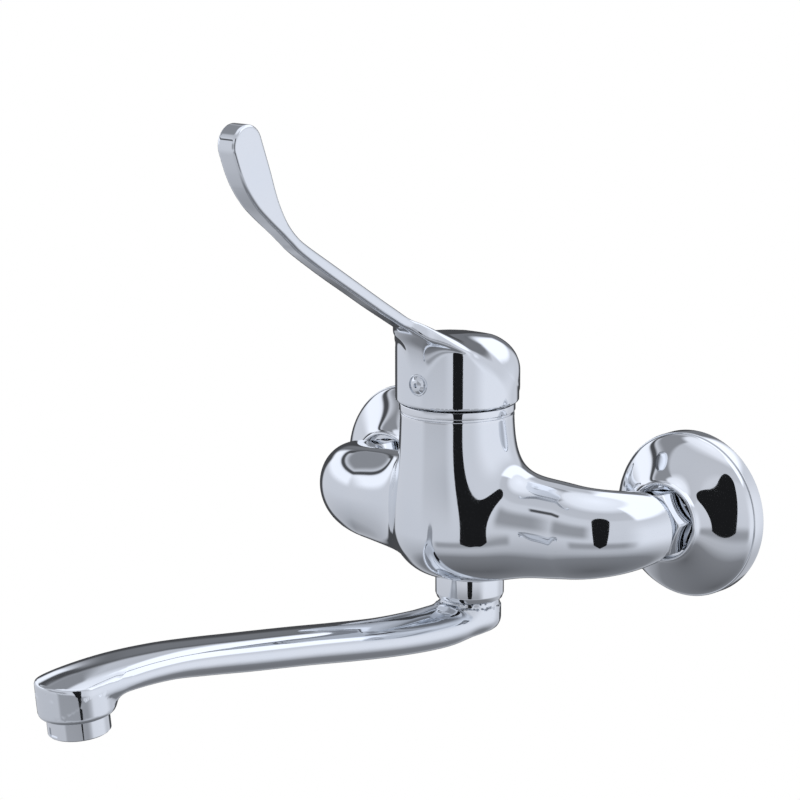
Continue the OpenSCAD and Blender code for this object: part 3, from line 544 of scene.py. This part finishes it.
# Spout tube: (ahead of the swivel axis, below the crossbar axis, width, height)
SPOUT_LINE = np.array([
    (-4, 45, 17, 8), (3, 46.5, 23.5, 13), (13.2, 47.6, 26, 16.2), (26.4, 48.1, 26, 16.2),
    (46.7, 47.3, 26, 15.5), (69, 45.2, 26, 15.3), (93.5, 42.5, 26, 15), (122, 39.7, 26, 14.8),
    (144.3, 37.4, 26.2, 14.2), (162.6, 36, 27.2, 13.4), (183, 36.3, 29.4, 13.4),
    (203.2, 38.6, 32, 13.4), (219, 42.6, 34, 14),
])
SPOUT_REACH = SPOUT_LINE[-2][0]


def along_stations(s, line):
    """Catmull-Rom values of the stations at the distance s."""
    last = len(line) - 1
    i = np.clip(np.searchsorted(line[:, 0], s) - 1, 0, last - 1)
    u = np.clip((s - line[i, 0]) / (line[i + 1, 0] - line[i, 0]), 0, 1)[:, None]
    p = [line[np.clip(i + k, 0, last)] for k in (-1, 0, 1, 2)]
    gap = (p[2] - p[1])[:, :1]
    slope_1 = (p[2] - p[0]) / np.maximum((p[2] - p[0])[:, :1], 1e-6) * gap
    slope_2 = (p[3] - p[1]) / np.maximum((p[3] - p[1])[:, :1], 1e-6) * gap
    return (
        p[1] * (2 * u ** 3 - 3 * u ** 2 + 1) + slope_1 * (u ** 3 - 2 * u ** 2 + u)
        + p[2] * (3 * u ** 2 - 2 * u ** 3) + slope_2 * (u ** 3 - u ** 2)
    )


def spout_local(p):
    """The spout's own frame: sideways, ahead of the swivel axis, and above the crossbar's axis."""
    x, y = p[:, 0], p[:, 1] - SPOUT_Y
    c, s = math.cos(SPOUT_TURN), math.sin(SPOUT_TURN)
    return x * c - y * s, -(x * s + y * c), p[:, 2] - BAR_Z


def spout_field(p):
    """Flat curved tube between its round root under the swivel and the outlet's tilted round head."""
    x, s, z = spout_local(p)
    q = along_stations(s, SPOUT_LINE)
    ahead, up = s - SPOUT_REACH, z + HEAD_HIGH
    c, t = math.cos(OUTLET_TILT), math.sin(OUTLET_TILT)
    head_s, head_z = ahead * c - up * t, ahead * t + up * c
    head_r = np.hypot(x, head_s)
    front = np.hypot(x, np.maximum(head_s, 0)) - HEAD_R
    tube = oval(x, z + q[:, 1], q[:, 2] / 2, q[:, 3] / 2, TUBE_POWER)
    tube = np.maximum(round_max(tube, front, HEAD_TOP_EDGE), -TUBE_BACK - s)
    radius = np.hypot(x, s)
    root = round_max(radius - ROOT_R, -ROOT_LOW - z, ROOT_EDGE)
    root = np.maximum(root, z + ROOT_HIGH + ROOT_STEP)
    form = soft_min(tube, root, ROOT_FILLET)
    form = np.minimum(form, rod(radius, NECK_R, z, -ROOT_HIGH - 4, -ROOT_HIGH))
    form = np.maximum(form, -rod(radius, NUT_ROOM_R, z, -ROOT_HIGH, 0))
    foot = HEAD_HIGH - HEAD_LOW
    head = np.maximum(head_r - HEAD_R, head_z + HEAD_ROOF)
    head = round_max(head, foot - head_z, HEAD_LOW_EDGE)
    form = soft_min(form, head, mix(*HEAD_FILLETS, smooth((-HEAD_BACK - head_s) / HEAD_FADE)))
    form = np.minimum(form, rod(radius, SWIVEL_R, z, -ROOT_HIGH - 2, -SWIVEL_HIGH))
    return np.maximum(form, -rod(head_r, CHAMBER_R, head_z, foot - 1, foot + CHAMBER_H))


def make_spout():
    reach = SPOUT_REACH + HEAD_R
    c, s = math.cos(SPOUT_TURN), math.sin(SPOUT_TURN)
    low = (-reach * s - 17, SPOUT_Y - reach * c - 5, BAR_Z - 60)
    high = (20, SPOUT_Y + 18, BAR_Z - 19)
    return skin("spout_tube", spout_field, low, high, SPOUT_CELL, "spout", "spout_chrome", ["spout"])


# Flanges, nuts, ring and button. An outline lists (radius, height, rounding) at its corners.

FLANGE_RIM = 6.2
FLANGE_STEP = 0.6
FLANGE_H = 23.8
FLANGE_NECK_R = 16.7
FLANGE_WALL = 1.2
FLANGE_LIP = 0.8
FLANGE_LIP_IN = 0.7
WEB_BACK = 14
WEB_FRONT = 20.4
COLLAR_R = 13.25


def make_flange(side):
    """Straight rim, hollow cone up to a round lip, and inside it a web round the union's collar."""
    t = np.linspace(0, 1, 40)
    r = mix(FLANGE_R - FLANGE_STEP, FLANGE_NECK_R, smooth(t))
    h = mix(FLANGE_RIM, FLANGE_H - FLANGE_LIP, t)
    rim = rounded([
        (FLANGE_R - FLANGE_WALL, 0, 0), (FLANGE_R, 0, 0.3), (FLANGE_R, FLANGE_RIM, 0.4),
        (FLANGE_R - FLANGE_STEP, FLANGE_RIM, 0),
    ])
    angle = np.linspace(-0.4, math.pi, 10)
    lip_r = FLANGE_NECK_R - FLANGE_LIP_IN + FLANGE_LIP * np.cos(angle)
    lip_h = FLANGE_H - FLANGE_LIP + FLANGE_LIP * np.sin(angle)
    inner = np.stack([r - FLANGE_WALL, h - FLANGE_WALL * 0.6], -1)[::-1]
    front_r, back_r = np.interp([WEB_FRONT, WEB_BACK], inner[::-1, 1], inner[::-1, 0])
    web = [(front_r, WEB_FRONT), (COLLAR_R, WEB_FRONT), (COLLAR_R, WEB_BACK), (back_r, WEB_BACK)]
    above, below = inner[inner[:, 1] > WEB_FRONT], inner[inner[:, 1] < WEB_BACK]
    cone, lip = np.stack([r, h], -1), np.stack([lip_r, lip_h], -1)
    outline = np.concatenate([rim, cone[1:-1], lip, above[1:], web, below[:-1]])
    name = SIDES[side]
    return lathe(
        "flange_" + name, outline, from_wall(side * SUPPLY_X), "mixer", "trim_chrome",
        ["wall_flange_" + name], turns=256, edge=40,
    )


NUT_HALF_AF = 12.7
NUT_BACK = 21
NUT_LENGTH = 10.8
NUT_FLATS = np.radians([38, 98, 158])
NUT_EDGE = 0.5
NUT_END_EDGE = 0.4
CONE_SLOPE = 1.4
CONE_SCALE = 0.58
NUT_BORE_R = 10.53
NUT_BORE_END = 8.9
COLLAR_OVER_TAIL_R = 10.8
NUT_TO_BODY = BODY_END - NUT_BACK - 0.2
NUT_BOX = 16
NUT_CELL = 0.5


def make_union_nut(side):
    """Hexagon nut with chamfered ends, and a collar that covers the tail between it and the body."""
    def field(p):
        x, h, z = p[:, 0] - side * SUPPLY_X, -p[:, 1] - NUT_BACK, p[:, 2] - BAR_Z
        flats = np.abs(np.outer(x, np.cos(NUT_FLATS)) + np.outer(z, np.sin(NUT_FLATS))) - NUT_HALF_AF
        hexagon = round_max(round_max(flats[:, 0], flats[:, 1], NUT_EDGE), flats[:, 2], NUT_EDGE)
        radius = np.hypot(x, z)
        half = NUT_LENGTH / 2
        cone = (radius - NUT_HALF_AF - 0.5 + (np.abs(h - half) - half) * CONE_SLOPE) * CONE_SCALE
        form = round_max(round_max(hexagon, slab(h, 0, NUT_LENGTH), NUT_END_EDGE), cone, NUT_EDGE)
        collar = round_max(radius - COLLAR_OVER_TAIL_R, slab(h, 0, NUT_TO_BODY), NUT_END_EDGE)
        bore = np.minimum(rod(radius, NUT_BORE_R, h, -1, NUT_BORE_END), rod(radius, TAIL_R, h, -1, PAST_ALL))
        return np.maximum(np.minimum(form, collar), -bore)

    name = SIDES[side]
    low = (side * SUPPLY_X - NUT_BOX, -BODY_END - 1, BAR_Z - NUT_BOX)
    high = (side * SUPPLY_X + NUT_BOX, -NUT_BACK + 1, BAR_Z + NUT_BOX)
    return skin(
        "coupling_nut_" + name, field, low, high, NUT_CELL, "mixer", "trim_chrome", ["union_nut_" + name],
    )


RING_LOW = 37.8
RING_INNER_R = 15.5
RING_SLEEVE_R = 21.5
RING_SEAT = TOWER_TOP - 1.2
RING_GROOVE = (TOWER_TOP + 0.1, TOWER_TOP + 0.9)
RING_TOP = HANDLE_LOW - 0.3


def make_trim_ring():
    """Ring between tower and cap: sleeve in the tower's mouth, thin rim over its edge, groove and bead."""
    outline = rounded([
        (RING_INNER_R, RING_LOW, 0), (RING_SLEEVE_R, RING_LOW, 0), (RING_SLEEVE_R, RING_SEAT, 0),
        (23.93, RING_SEAT, 0), (23.9, RING_GROOVE[0], 0.45), (23.2, RING_GROOVE[0], 0),
        (23.2, RING_GROOVE[1], 0), (24.3, RING_GROOVE[1] + 0.2, 0.5), (24.3, RING_TOP - 0.7, 0.6),
        (23.2, RING_TOP, 0.4), (RING_INNER_R, RING_TOP, 0),
    ])
    return lathe("cap_ring", outline, upright(0, TOWER_Y), "mixer", "trim_chrome", ["trim_ring"])


def make_spout_nut():
    """Round nut under the body, its lower edge rounded."""
    outline = rounded([
        (12.25, -26.8, 0), (14.5, -26.8, 0.35), (14.5, -35.6, 1.5), (13.7, -37.7, 0.4), (10, -37.7, 0),
        (10, -36.1, 0), (12.25, -36.1, 0),
    ])
    return lathe("swivel_nut", outline[::-1], upright(0, SPOUT_Y), "mixer", "trim_chrome", ["spout_nut"])


def make_button():
    """Cover button in the cap's front: a low dome inside a ring-shaped groove, with a dot in the middle."""
    outline = rounded([
        (0.01, -4, 0), (4.6, -4, 0), (4.6, 0.3, 0.3), (4.2, 0.35, 0.1), (4.1, -0.9, 0), (3.75, -0.9, 0),
        (3.75, 0.2, 0.3), (2.4, 1.1, 1.5), (0.95, 1.4, 0.1), (0.85, 0.2, 0), (0.01, 0.2, 0),
    ])
    place = from_cap_front(TOWER_Y - CAP_R, HANDLE_LOW + SCREW_H)
    return lathe("cover_button", outline, place, "lever", "handle_chrome", ["index_button"])


# Materials

def shader(name, colour, metallic, roughness):
    """A new material, its node tree and its shader."""
    material = bpy.data.materials.new(name)
    material.use_nodes = True
    tree = material.node_tree
    surface = tree.nodes["Principled BSDF"]
    surface.inputs["Base Color"].default_value = (*colour, 1)
    surface.inputs["Metallic"].default_value = metallic
    surface.inputs["Roughness"].default_value = roughness
    return material, tree, surface


def noise(tree, scale, detail=3, stretch=(1, 1, 1)):
    """Noise in object space, scale in waves per metre, stretch along the axes with the smaller numbers."""
    place = tree.nodes.new("ShaderNodeTexCoord")
    mapping = tree.nodes.new("ShaderNodeMapping")
    mapping.inputs["Scale"].default_value = stretch
    texture = tree.nodes.new("ShaderNodeTexNoise")
    texture.inputs["Scale"].default_value = scale
    texture.inputs["Detail"].default_value = detail
    tree.links.new(place.outputs["Object"], mapping.inputs["Vector"])
    tree.links.new(mapping.outputs["Vector"], texture.inputs["Vector"])
    return texture.outputs["Fac"]


def spread(tree, value, low, high):
    """A 0 to 1 value spread between two numbers."""
    node = tree.nodes.new("ShaderNodeMapRange")
    node.inputs["From Min"].default_value = 0.3
    node.inputs["From Max"].default_value = 0.7
    node.inputs["To Min"].default_value = low
    node.inputs["To Max"].default_value = high
    tree.links.new(value, node.inputs["Value"])
    return node.outputs["Result"]


def between(tree, value, first, second):
    """Colour between two colours by a value."""
    node = tree.nodes.new("ShaderNodeMix")
    node.data_type = "RGBA"
    node.inputs["A"].default_value = (*first, 1)
    node.inputs["B"].default_value = (*second, 1)
    tree.links.new(value, node.inputs["Factor"])
    return node.outputs["Result"]


def bump(tree, surface, value, depth):
    """Relief of a depth in metres."""
    node = tree.nodes.new("ShaderNodeBump")
    node.inputs["Strength"].default_value = 1
    node.inputs["Distance"].default_value = depth
    tree.links.new(value, node.inputs["Height"])
    tree.links.new(node.outputs["Normal"], surface.inputs["Normal"])


def polished_chrome(name, colour, dull):
    """Mirror plate: faint haze that drifts in patches, a trace of blue, and a barely uneven polish."""
    material, tree, surface = shader(name, colour, 1, dull)
    cooler = tuple(c * k for c, k in zip(colour, (0.96, 0.98, 1.0)))
    haze, wear, waviness = noise(tree, 60), noise(tree, 140, 4), noise(tree, 35, 1)
    tree.links.new(between(tree, haze, colour, cooler), surface.inputs["Base Color"])
    tree.links.new(spread(tree, wear, dull * 0.7, dull * 1.4), surface.inputs["Roughness"])
    bump(tree, surface, waviness, 0.000012)
    return material


def turned_metal(name, colour, dull):
    """Machined metal with fine tool lines."""
    material, tree, surface = shader(name, colour, 1, dull)
    lines, patches = noise(tree, 900, 2, (0.05, 1, 0.05)), noise(tree, 200)
    darker = tuple(c * 0.8 for c in colour)
    tree.links.new(between(tree, patches, colour, darker), surface.inputs["Base Color"])
    tree.links.new(spread(tree, lines, dull * 0.8, dull * 1.3), surface.inputs["Roughness"])
    bump(tree, surface, lines, 0.00001)
    return material


def moulded(name, colour, dull, grain):
    """Moulded plastic, rubber or ceramic with a fine grain."""
    material, tree, surface = shader(name, colour, 0, dull)
    patches = noise(tree, 250)
    shade = tuple(c * 0.9 for c in colour)
    tree.links.new(between(tree, patches, colour, shade), surface.inputs["Base Color"])
    tree.links.new(spread(tree, patches, dull * 0.85, dull * 1.15), surface.inputs["Roughness"])
    bump(tree, surface, noise(tree, 2500, 2), grain)
    return material


def make_materials():
    chrome = (0.80, 0.82, 0.85)
    return {
        "body_chrome": polished_chrome("body_chrome", chrome, 0.045),
        "trim_chrome": polished_chrome("trim_chrome", (0.82, 0.835, 0.86), 0.035),
        "handle_chrome": polished_chrome("handle_chrome", chrome, 0.04),
        "spout_chrome": polished_chrome("spout_chrome", chrome, 0.05),
        "plain_brass": turned_metal("plain_brass", (0.76, 0.58, 0.30), 0.3),
        "steel": turned_metal("steel", (0.56, 0.57, 0.58), 0.3),
        "black_rubber": moulded("black_rubber", (0.03, 0.03, 0.032), 0.7, 0.00002),
        "white_plastic": moulded("white_plastic", (0.82, 0.82, 0.80), 0.4, 0.00001),
        "grey_plastic": moulded("grey_plastic", (0.42, 0.44, 0.47), 0.45, 0.00001),
        "valve_ceramic": moulded("valve_ceramic", (0.88, 0.87, 0.83), 0.15, 0.000004),
    }


def dress(materials, pieces):
    """Each new piece and each shown CAD node gets the material of its slot."""
    slot_of = {part["node"]: part["material_slot"] for part in frame["record"]["subparts"]}
    for piece in pieces:
        piece.data.materials.clear()
        piece.data.materials.append(materials[piece["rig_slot"]])
    for name, obj in nodes.items():
        if not obj.material_slots:
            obj.data.materials.append(None)
        for place in obj.material_slots:
            place.material = materials[slot_of[name]]


# Studio, in metres and degrees

CAMERA_TARGET = Vector((-55.46, -36.36, 29.95)) * MM
CAMERA_AZIMUTH = 39.875
CAMERA_ELEVATION = 12.017
CAMERA_DISTANCE = 1.5
CAMERA_LENS = 155.96
STUDIO_CENTRE = Vector((0, -0.06, 0))
FLOOR_Z = -1.3
FLOOR_HALF = 4
TENT_R = 1.2
WORLD_LIGHT = 0.8

# Grey of the tent by elevation in degrees
TENT = [
    (-90, 0.14), (-50, 0.24), (-38, 0.5), (-10, 0.7), (6, 0.72), (32, 0.72), (37, 0.62), (52, 0.6),
    (64, 0.95), (90, 1.1),
]

# Soft panels in the tent, each over the ones before it: azimuth, elevation, width, height and softness in
# degrees, and grey
PANELS = [
    (-137, 2, 54, 64, 6, 0.06),
    (-84, 16, 74, 18, 10, 1.1),
    (-72, 27, 96, 5, 3, 0.08),
    (-88, 46, 70, 26, 8, 0.3),
    (-5, 6, 50, 24, 14, 0.36),
    (40, -22, 90, 12, 10, 0.36),
    (115, -4, 70, 44, 30, 0.9),
    (-150, 12, 56, 40, 14, 0.2),
    (149, 49, 122, 34, 8, 1.25),
    (-140, -12, 64, 44, 8, 0.07),
]

# Black flag, which gives the polish its black stripe: (across, up, rounding) of its corners in metres
FLAG = [
    (0, -0.27, 0.005), (0.075, -0.19, 0.02), (0.13, 0.45, 0.12), (-0.13, 0.45, 0.12), (-0.075, -0.19, 0.02),
]
FLAG_DISTANCE = 0.55
FLAG_GREY = 0.012

# Lamps: name, azimuth and elevation in degrees, watts
LAMPS = [("key", 75, 40, 9), ("fill", -40, 30, 6)]
LAMP_SIZE = 0.8
LAMP_DISTANCE = 1.1


def grey(level):
    """Slightly cool grey."""
    return (level * 0.97, level, level * 1.08, 1)


def direction(azimuth, elevation):
    """Unit vector, azimuth in degrees from straight ahead of the tap to its right."""
    a, e = math.radians(azimuth), math.radians(elevation)
    return Vector((math.sin(a) * math.cos(e), -math.cos(a) * math.cos(e), math.sin(e)))


def make_camera():
    away = direction(CAMERA_AZIMUTH, CAMERA_ELEVATION)
    data = bpy.data.cameras.new("camera")
    data.lens = CAMERA_LENS
    data.sensor_width = 36
    data.clip_end = 20
    camera = bpy.data.objects.new("camera", data)
    camera.location = CAMERA_TARGET + away * CAMERA_DISTANCE
    camera.rotation_euler = away.to_track_quat("Z", "Y").to_euler()
    bpy.context.scene.collection.objects.link(camera)
    bpy.context.scene.camera = camera


def seen_as(tree, shown, lit):
    """One shader for camera, glossy and transmission rays, and another for the rest."""
    path = tree.nodes.new("ShaderNodeLightPath")
    total = path.outputs["Is Camera Ray"]
    for ray in ("Is Glossy Ray", "Is Transmission Ray"):
        add = tree.nodes.new("ShaderNodeMath")
        add.operation = "MAXIMUM"
        tree.links.new(total, add.inputs[0])
        tree.links.new(path.outputs[ray], add.inputs[1])
        total = add.outputs[0]
    mixer = tree.nodes.new("ShaderNodeMixShader")
    tree.links.new(total, mixer.inputs[0])
    tree.links.new(lit, mixer.inputs[1])
    tree.links.new(shown, mixer.inputs[2])
    return mixer.outputs[0]


def stage_object(name, points, faces):
    """A studio object with an empty material of its own."""
    mesh = bpy.data.meshes.new(name)
    mesh.from_pydata(points, [], faces)
    obj = bpy.data.objects.new(name, mesh)
    bpy.context.scene.collection.objects.link(obj)
    material = bpy.data.materials.new(name)
    material.use_nodes = True
    material.node_tree.nodes.clear()
    mesh.materials.append(material)
    return obj, material.node_tree


def glow(tree, colour):
    """Ends a material's tree in plain emission."""
    light = tree.nodes.new("ShaderNodeEmission")
    out = tree.nodes.new("ShaderNodeOutputMaterial")
    tree.links.new(light.outputs[0], out.inputs["Surface"])
    if isinstance(colour, tuple):
        light.inputs["Color"].default_value = colour
    else:
        tree.links.new(colour, light.inputs["Color"])


def make_floor():
    """Pale floor that shows white, with the object's shadow kept for diffuse light."""
    corners = [(FLOOR_HALF * u, FLOOR_HALF * v, 0) for u, v in ((-1, -1), (1, -1), (1, 1), (-1, 1))]
    floor, tree = stage_object("floor", corners, [(0, 1, 2, 3)])
    floor.location.z = FLOOR_Z
    pale = tree.nodes.new("ShaderNodeBsdfDiffuse")
    pale.inputs["Color"].default_value = (0.8, 0.8, 0.8, 1)
    white = tree.nodes.new("ShaderNodeEmission")
    out = tree.nodes.new("ShaderNodeOutputMaterial")
    tree.links.new(seen_as(tree, white.outputs[0], pale.outputs[0]), out.inputs["Surface"])


def make_world():
    """White background over a plain soft light."""
    world = bpy.data.worlds.new("studio")
    bpy.context.scene.world = world
    world.use_nodes = True
    tree = world.node_tree
    tree.nodes.clear()
    white = tree.nodes.new("ShaderNodeBackground")
    white.inputs["Color"].default_value = (1, 1, 1, 1)
    soft = tree.nodes.new("ShaderNodeBackground")
    soft.inputs["Color"].default_value = grey(WORLD_LIGHT)
    out = tree.nodes.new("ShaderNodeOutputWorld")
    tree.links.new(seen_as(tree, white.outputs[0], soft.outputs[0]), out.inputs["Surface"])


def calculate(tree, operation, *values):
    """A math node over sockets and numbers."""
    node = tree.nodes.new("ShaderNodeMath")
    node.operation = operation
    for socket, value in zip(node.inputs, values):
        if isinstance(value, (int, float)):
            socket.default_value = value
        else:
            tree.links.new(value, socket)
    return node.outputs[0]


def fade(tree, value, half, softness):
    """1 inside half and 0 outside it, with a soft edge."""
    node = tree.nodes.new("ShaderNodeMapRange")
    node.interpolation_type = "SMOOTHSTEP"
    node.inputs["From Min"].default_value = half - softness / 2
    node.inputs["From Max"].default_value = half + softness / 2
    node.inputs["To Min"].default_value = 1
    node.inputs["To Max"].default_value = 0
    tree.links.new(value, node.inputs["Value"])
    return node.outputs["Result"]


def make_tent():
    """Round light tent: grey walls with soft bright and dark panels, seen only in the polish."""
    turns, rows = 48, 24
    points = [
        tuple(direction(360 * i / turns, 180 * j / rows - 90) * TENT_R)
        for j in range(rows + 1) for i in range(turns)
    ]
    faces = [
        (j * turns + i, j * turns + (i + 1) % turns, (j + 1) * turns + (i + 1) % turns, (j + 1) * turns + i)
        for j in range(rows) for i in range(turns)
    ]
    tent, tree = stage_object("tent", points, faces)
    tent.location = STUDIO_CENTRE
    tent.visible_camera = False
    tent.visible_shadow = False
    place = tree.nodes.new("ShaderNodeTexCoord")
    unit = tree.nodes.new("ShaderNodeVectorMath")
    unit.operation = "NORMALIZE"
    tree.links.new(place.outputs["Object"], unit.inputs[0])
    split = tree.nodes.new("ShaderNodeSeparateXYZ")
    tree.links.new(unit.outputs[0], split.inputs[0])
    x, y, z = split.outputs
    turned = calculate(tree, "ARCTAN2", x, calculate(tree, "MULTIPLY", y, -1))
    azimuth = calculate(tree, "DEGREES", turned)
    elevation = calculate(tree, "DEGREES", calculate(tree, "ARCSINE", z))
    ramp = tree.nodes.new("ShaderNodeValToRGB")
    for i, (at, level) in enumerate(TENT):
        stop = ramp.color_ramp.elements[i] if i < 2 else ramp.color_ramp.elements.new(1)
        stop.position = (at + 90) / 180
        stop.color = grey(level)
    tree.links.new(calculate(tree, "MULTIPLY_ADD", elevation, 1 / 180, 0.5), ramp.inputs["Fac"])
    colour = ramp.outputs["Color"]
    for at, up, width, height, softness, level in PANELS:
        aside = calculate(tree, "WRAP", calculate(tree, "SUBTRACT", azimuth, at), 180, -180)
        aside = fade(tree, calculate(tree, "ABSOLUTE", aside), width / 2, softness)
        above = calculate(tree, "ABSOLUTE", calculate(tree, "SUBTRACT", elevation, up))
        above = fade(tree, above, height / 2, softness)
        mixer = tree.nodes.new("ShaderNodeMix")
        mixer.data_type = "RGBA"
        tree.links.new(calculate(tree, "MULTIPLY", aside, above), mixer.inputs["Factor"])
        tree.links.new(colour, mixer.inputs["A"])
        mixer.inputs["B"].default_value = grey(level)
        colour = mixer.outputs["Result"]
    glow(tree, colour)


def make_flag():
    """Black flag with rounded corners that stands near the object, seen only in its polish."""
    corners = rounded(FLAG, steps=8)
    panel, tree = stage_object("flag", [(u, v, 0) for u, v in corners], [range(len(corners))])
    away = direction(CAMERA_AZIMUTH, 0)
    panel.location = STUDIO_CENTRE + away * FLAG_DISTANCE
    panel.rotation_euler = away.to_track_quat("Z", "Y").to_euler()
    panel.visible_camera = False
    panel.visible_shadow = False
    panel.visible_diffuse = False
    glow(tree, grey(FLAG_GREY))


def make_lamp(name, azimuth, elevation, watts):
    """Soft square lamp that the polish doesn't show."""
    away = direction(azimuth, elevation)
    data = bpy.data.lights.new(name, "AREA")
    data.shape = "RECTANGLE"
    data.size, data.size_y = LAMP_SIZE, LAMP_SIZE
    data.energy = watts
    light = bpy.data.objects.new(name, data)
    light.location = STUDIO_CENTRE + away * LAMP_DISTANCE
    light.rotation_euler = away.to_track_quat("Z", "Y").to_euler()
    light.visible_glossy = False
    bpy.context.scene.collection.objects.link(light)


def make_studio():
    make_camera()
    make_floor()
    make_world()
    make_tent()
    make_flag()
    for row in LAMPS:
        make_lamp(*row)
    bpy.context.scene.view_settings.view_transform = "Standard"


# The object

pieces = [make_body(), make_handle(), make_spout(), make_trim_ring(), make_spout_nut(), make_button()]
for side in SIDES:
    pieces.append(make_flange(side))
    pieces.append(make_union_nut(side))
dress(make_materials(), pieces)
make_studio()
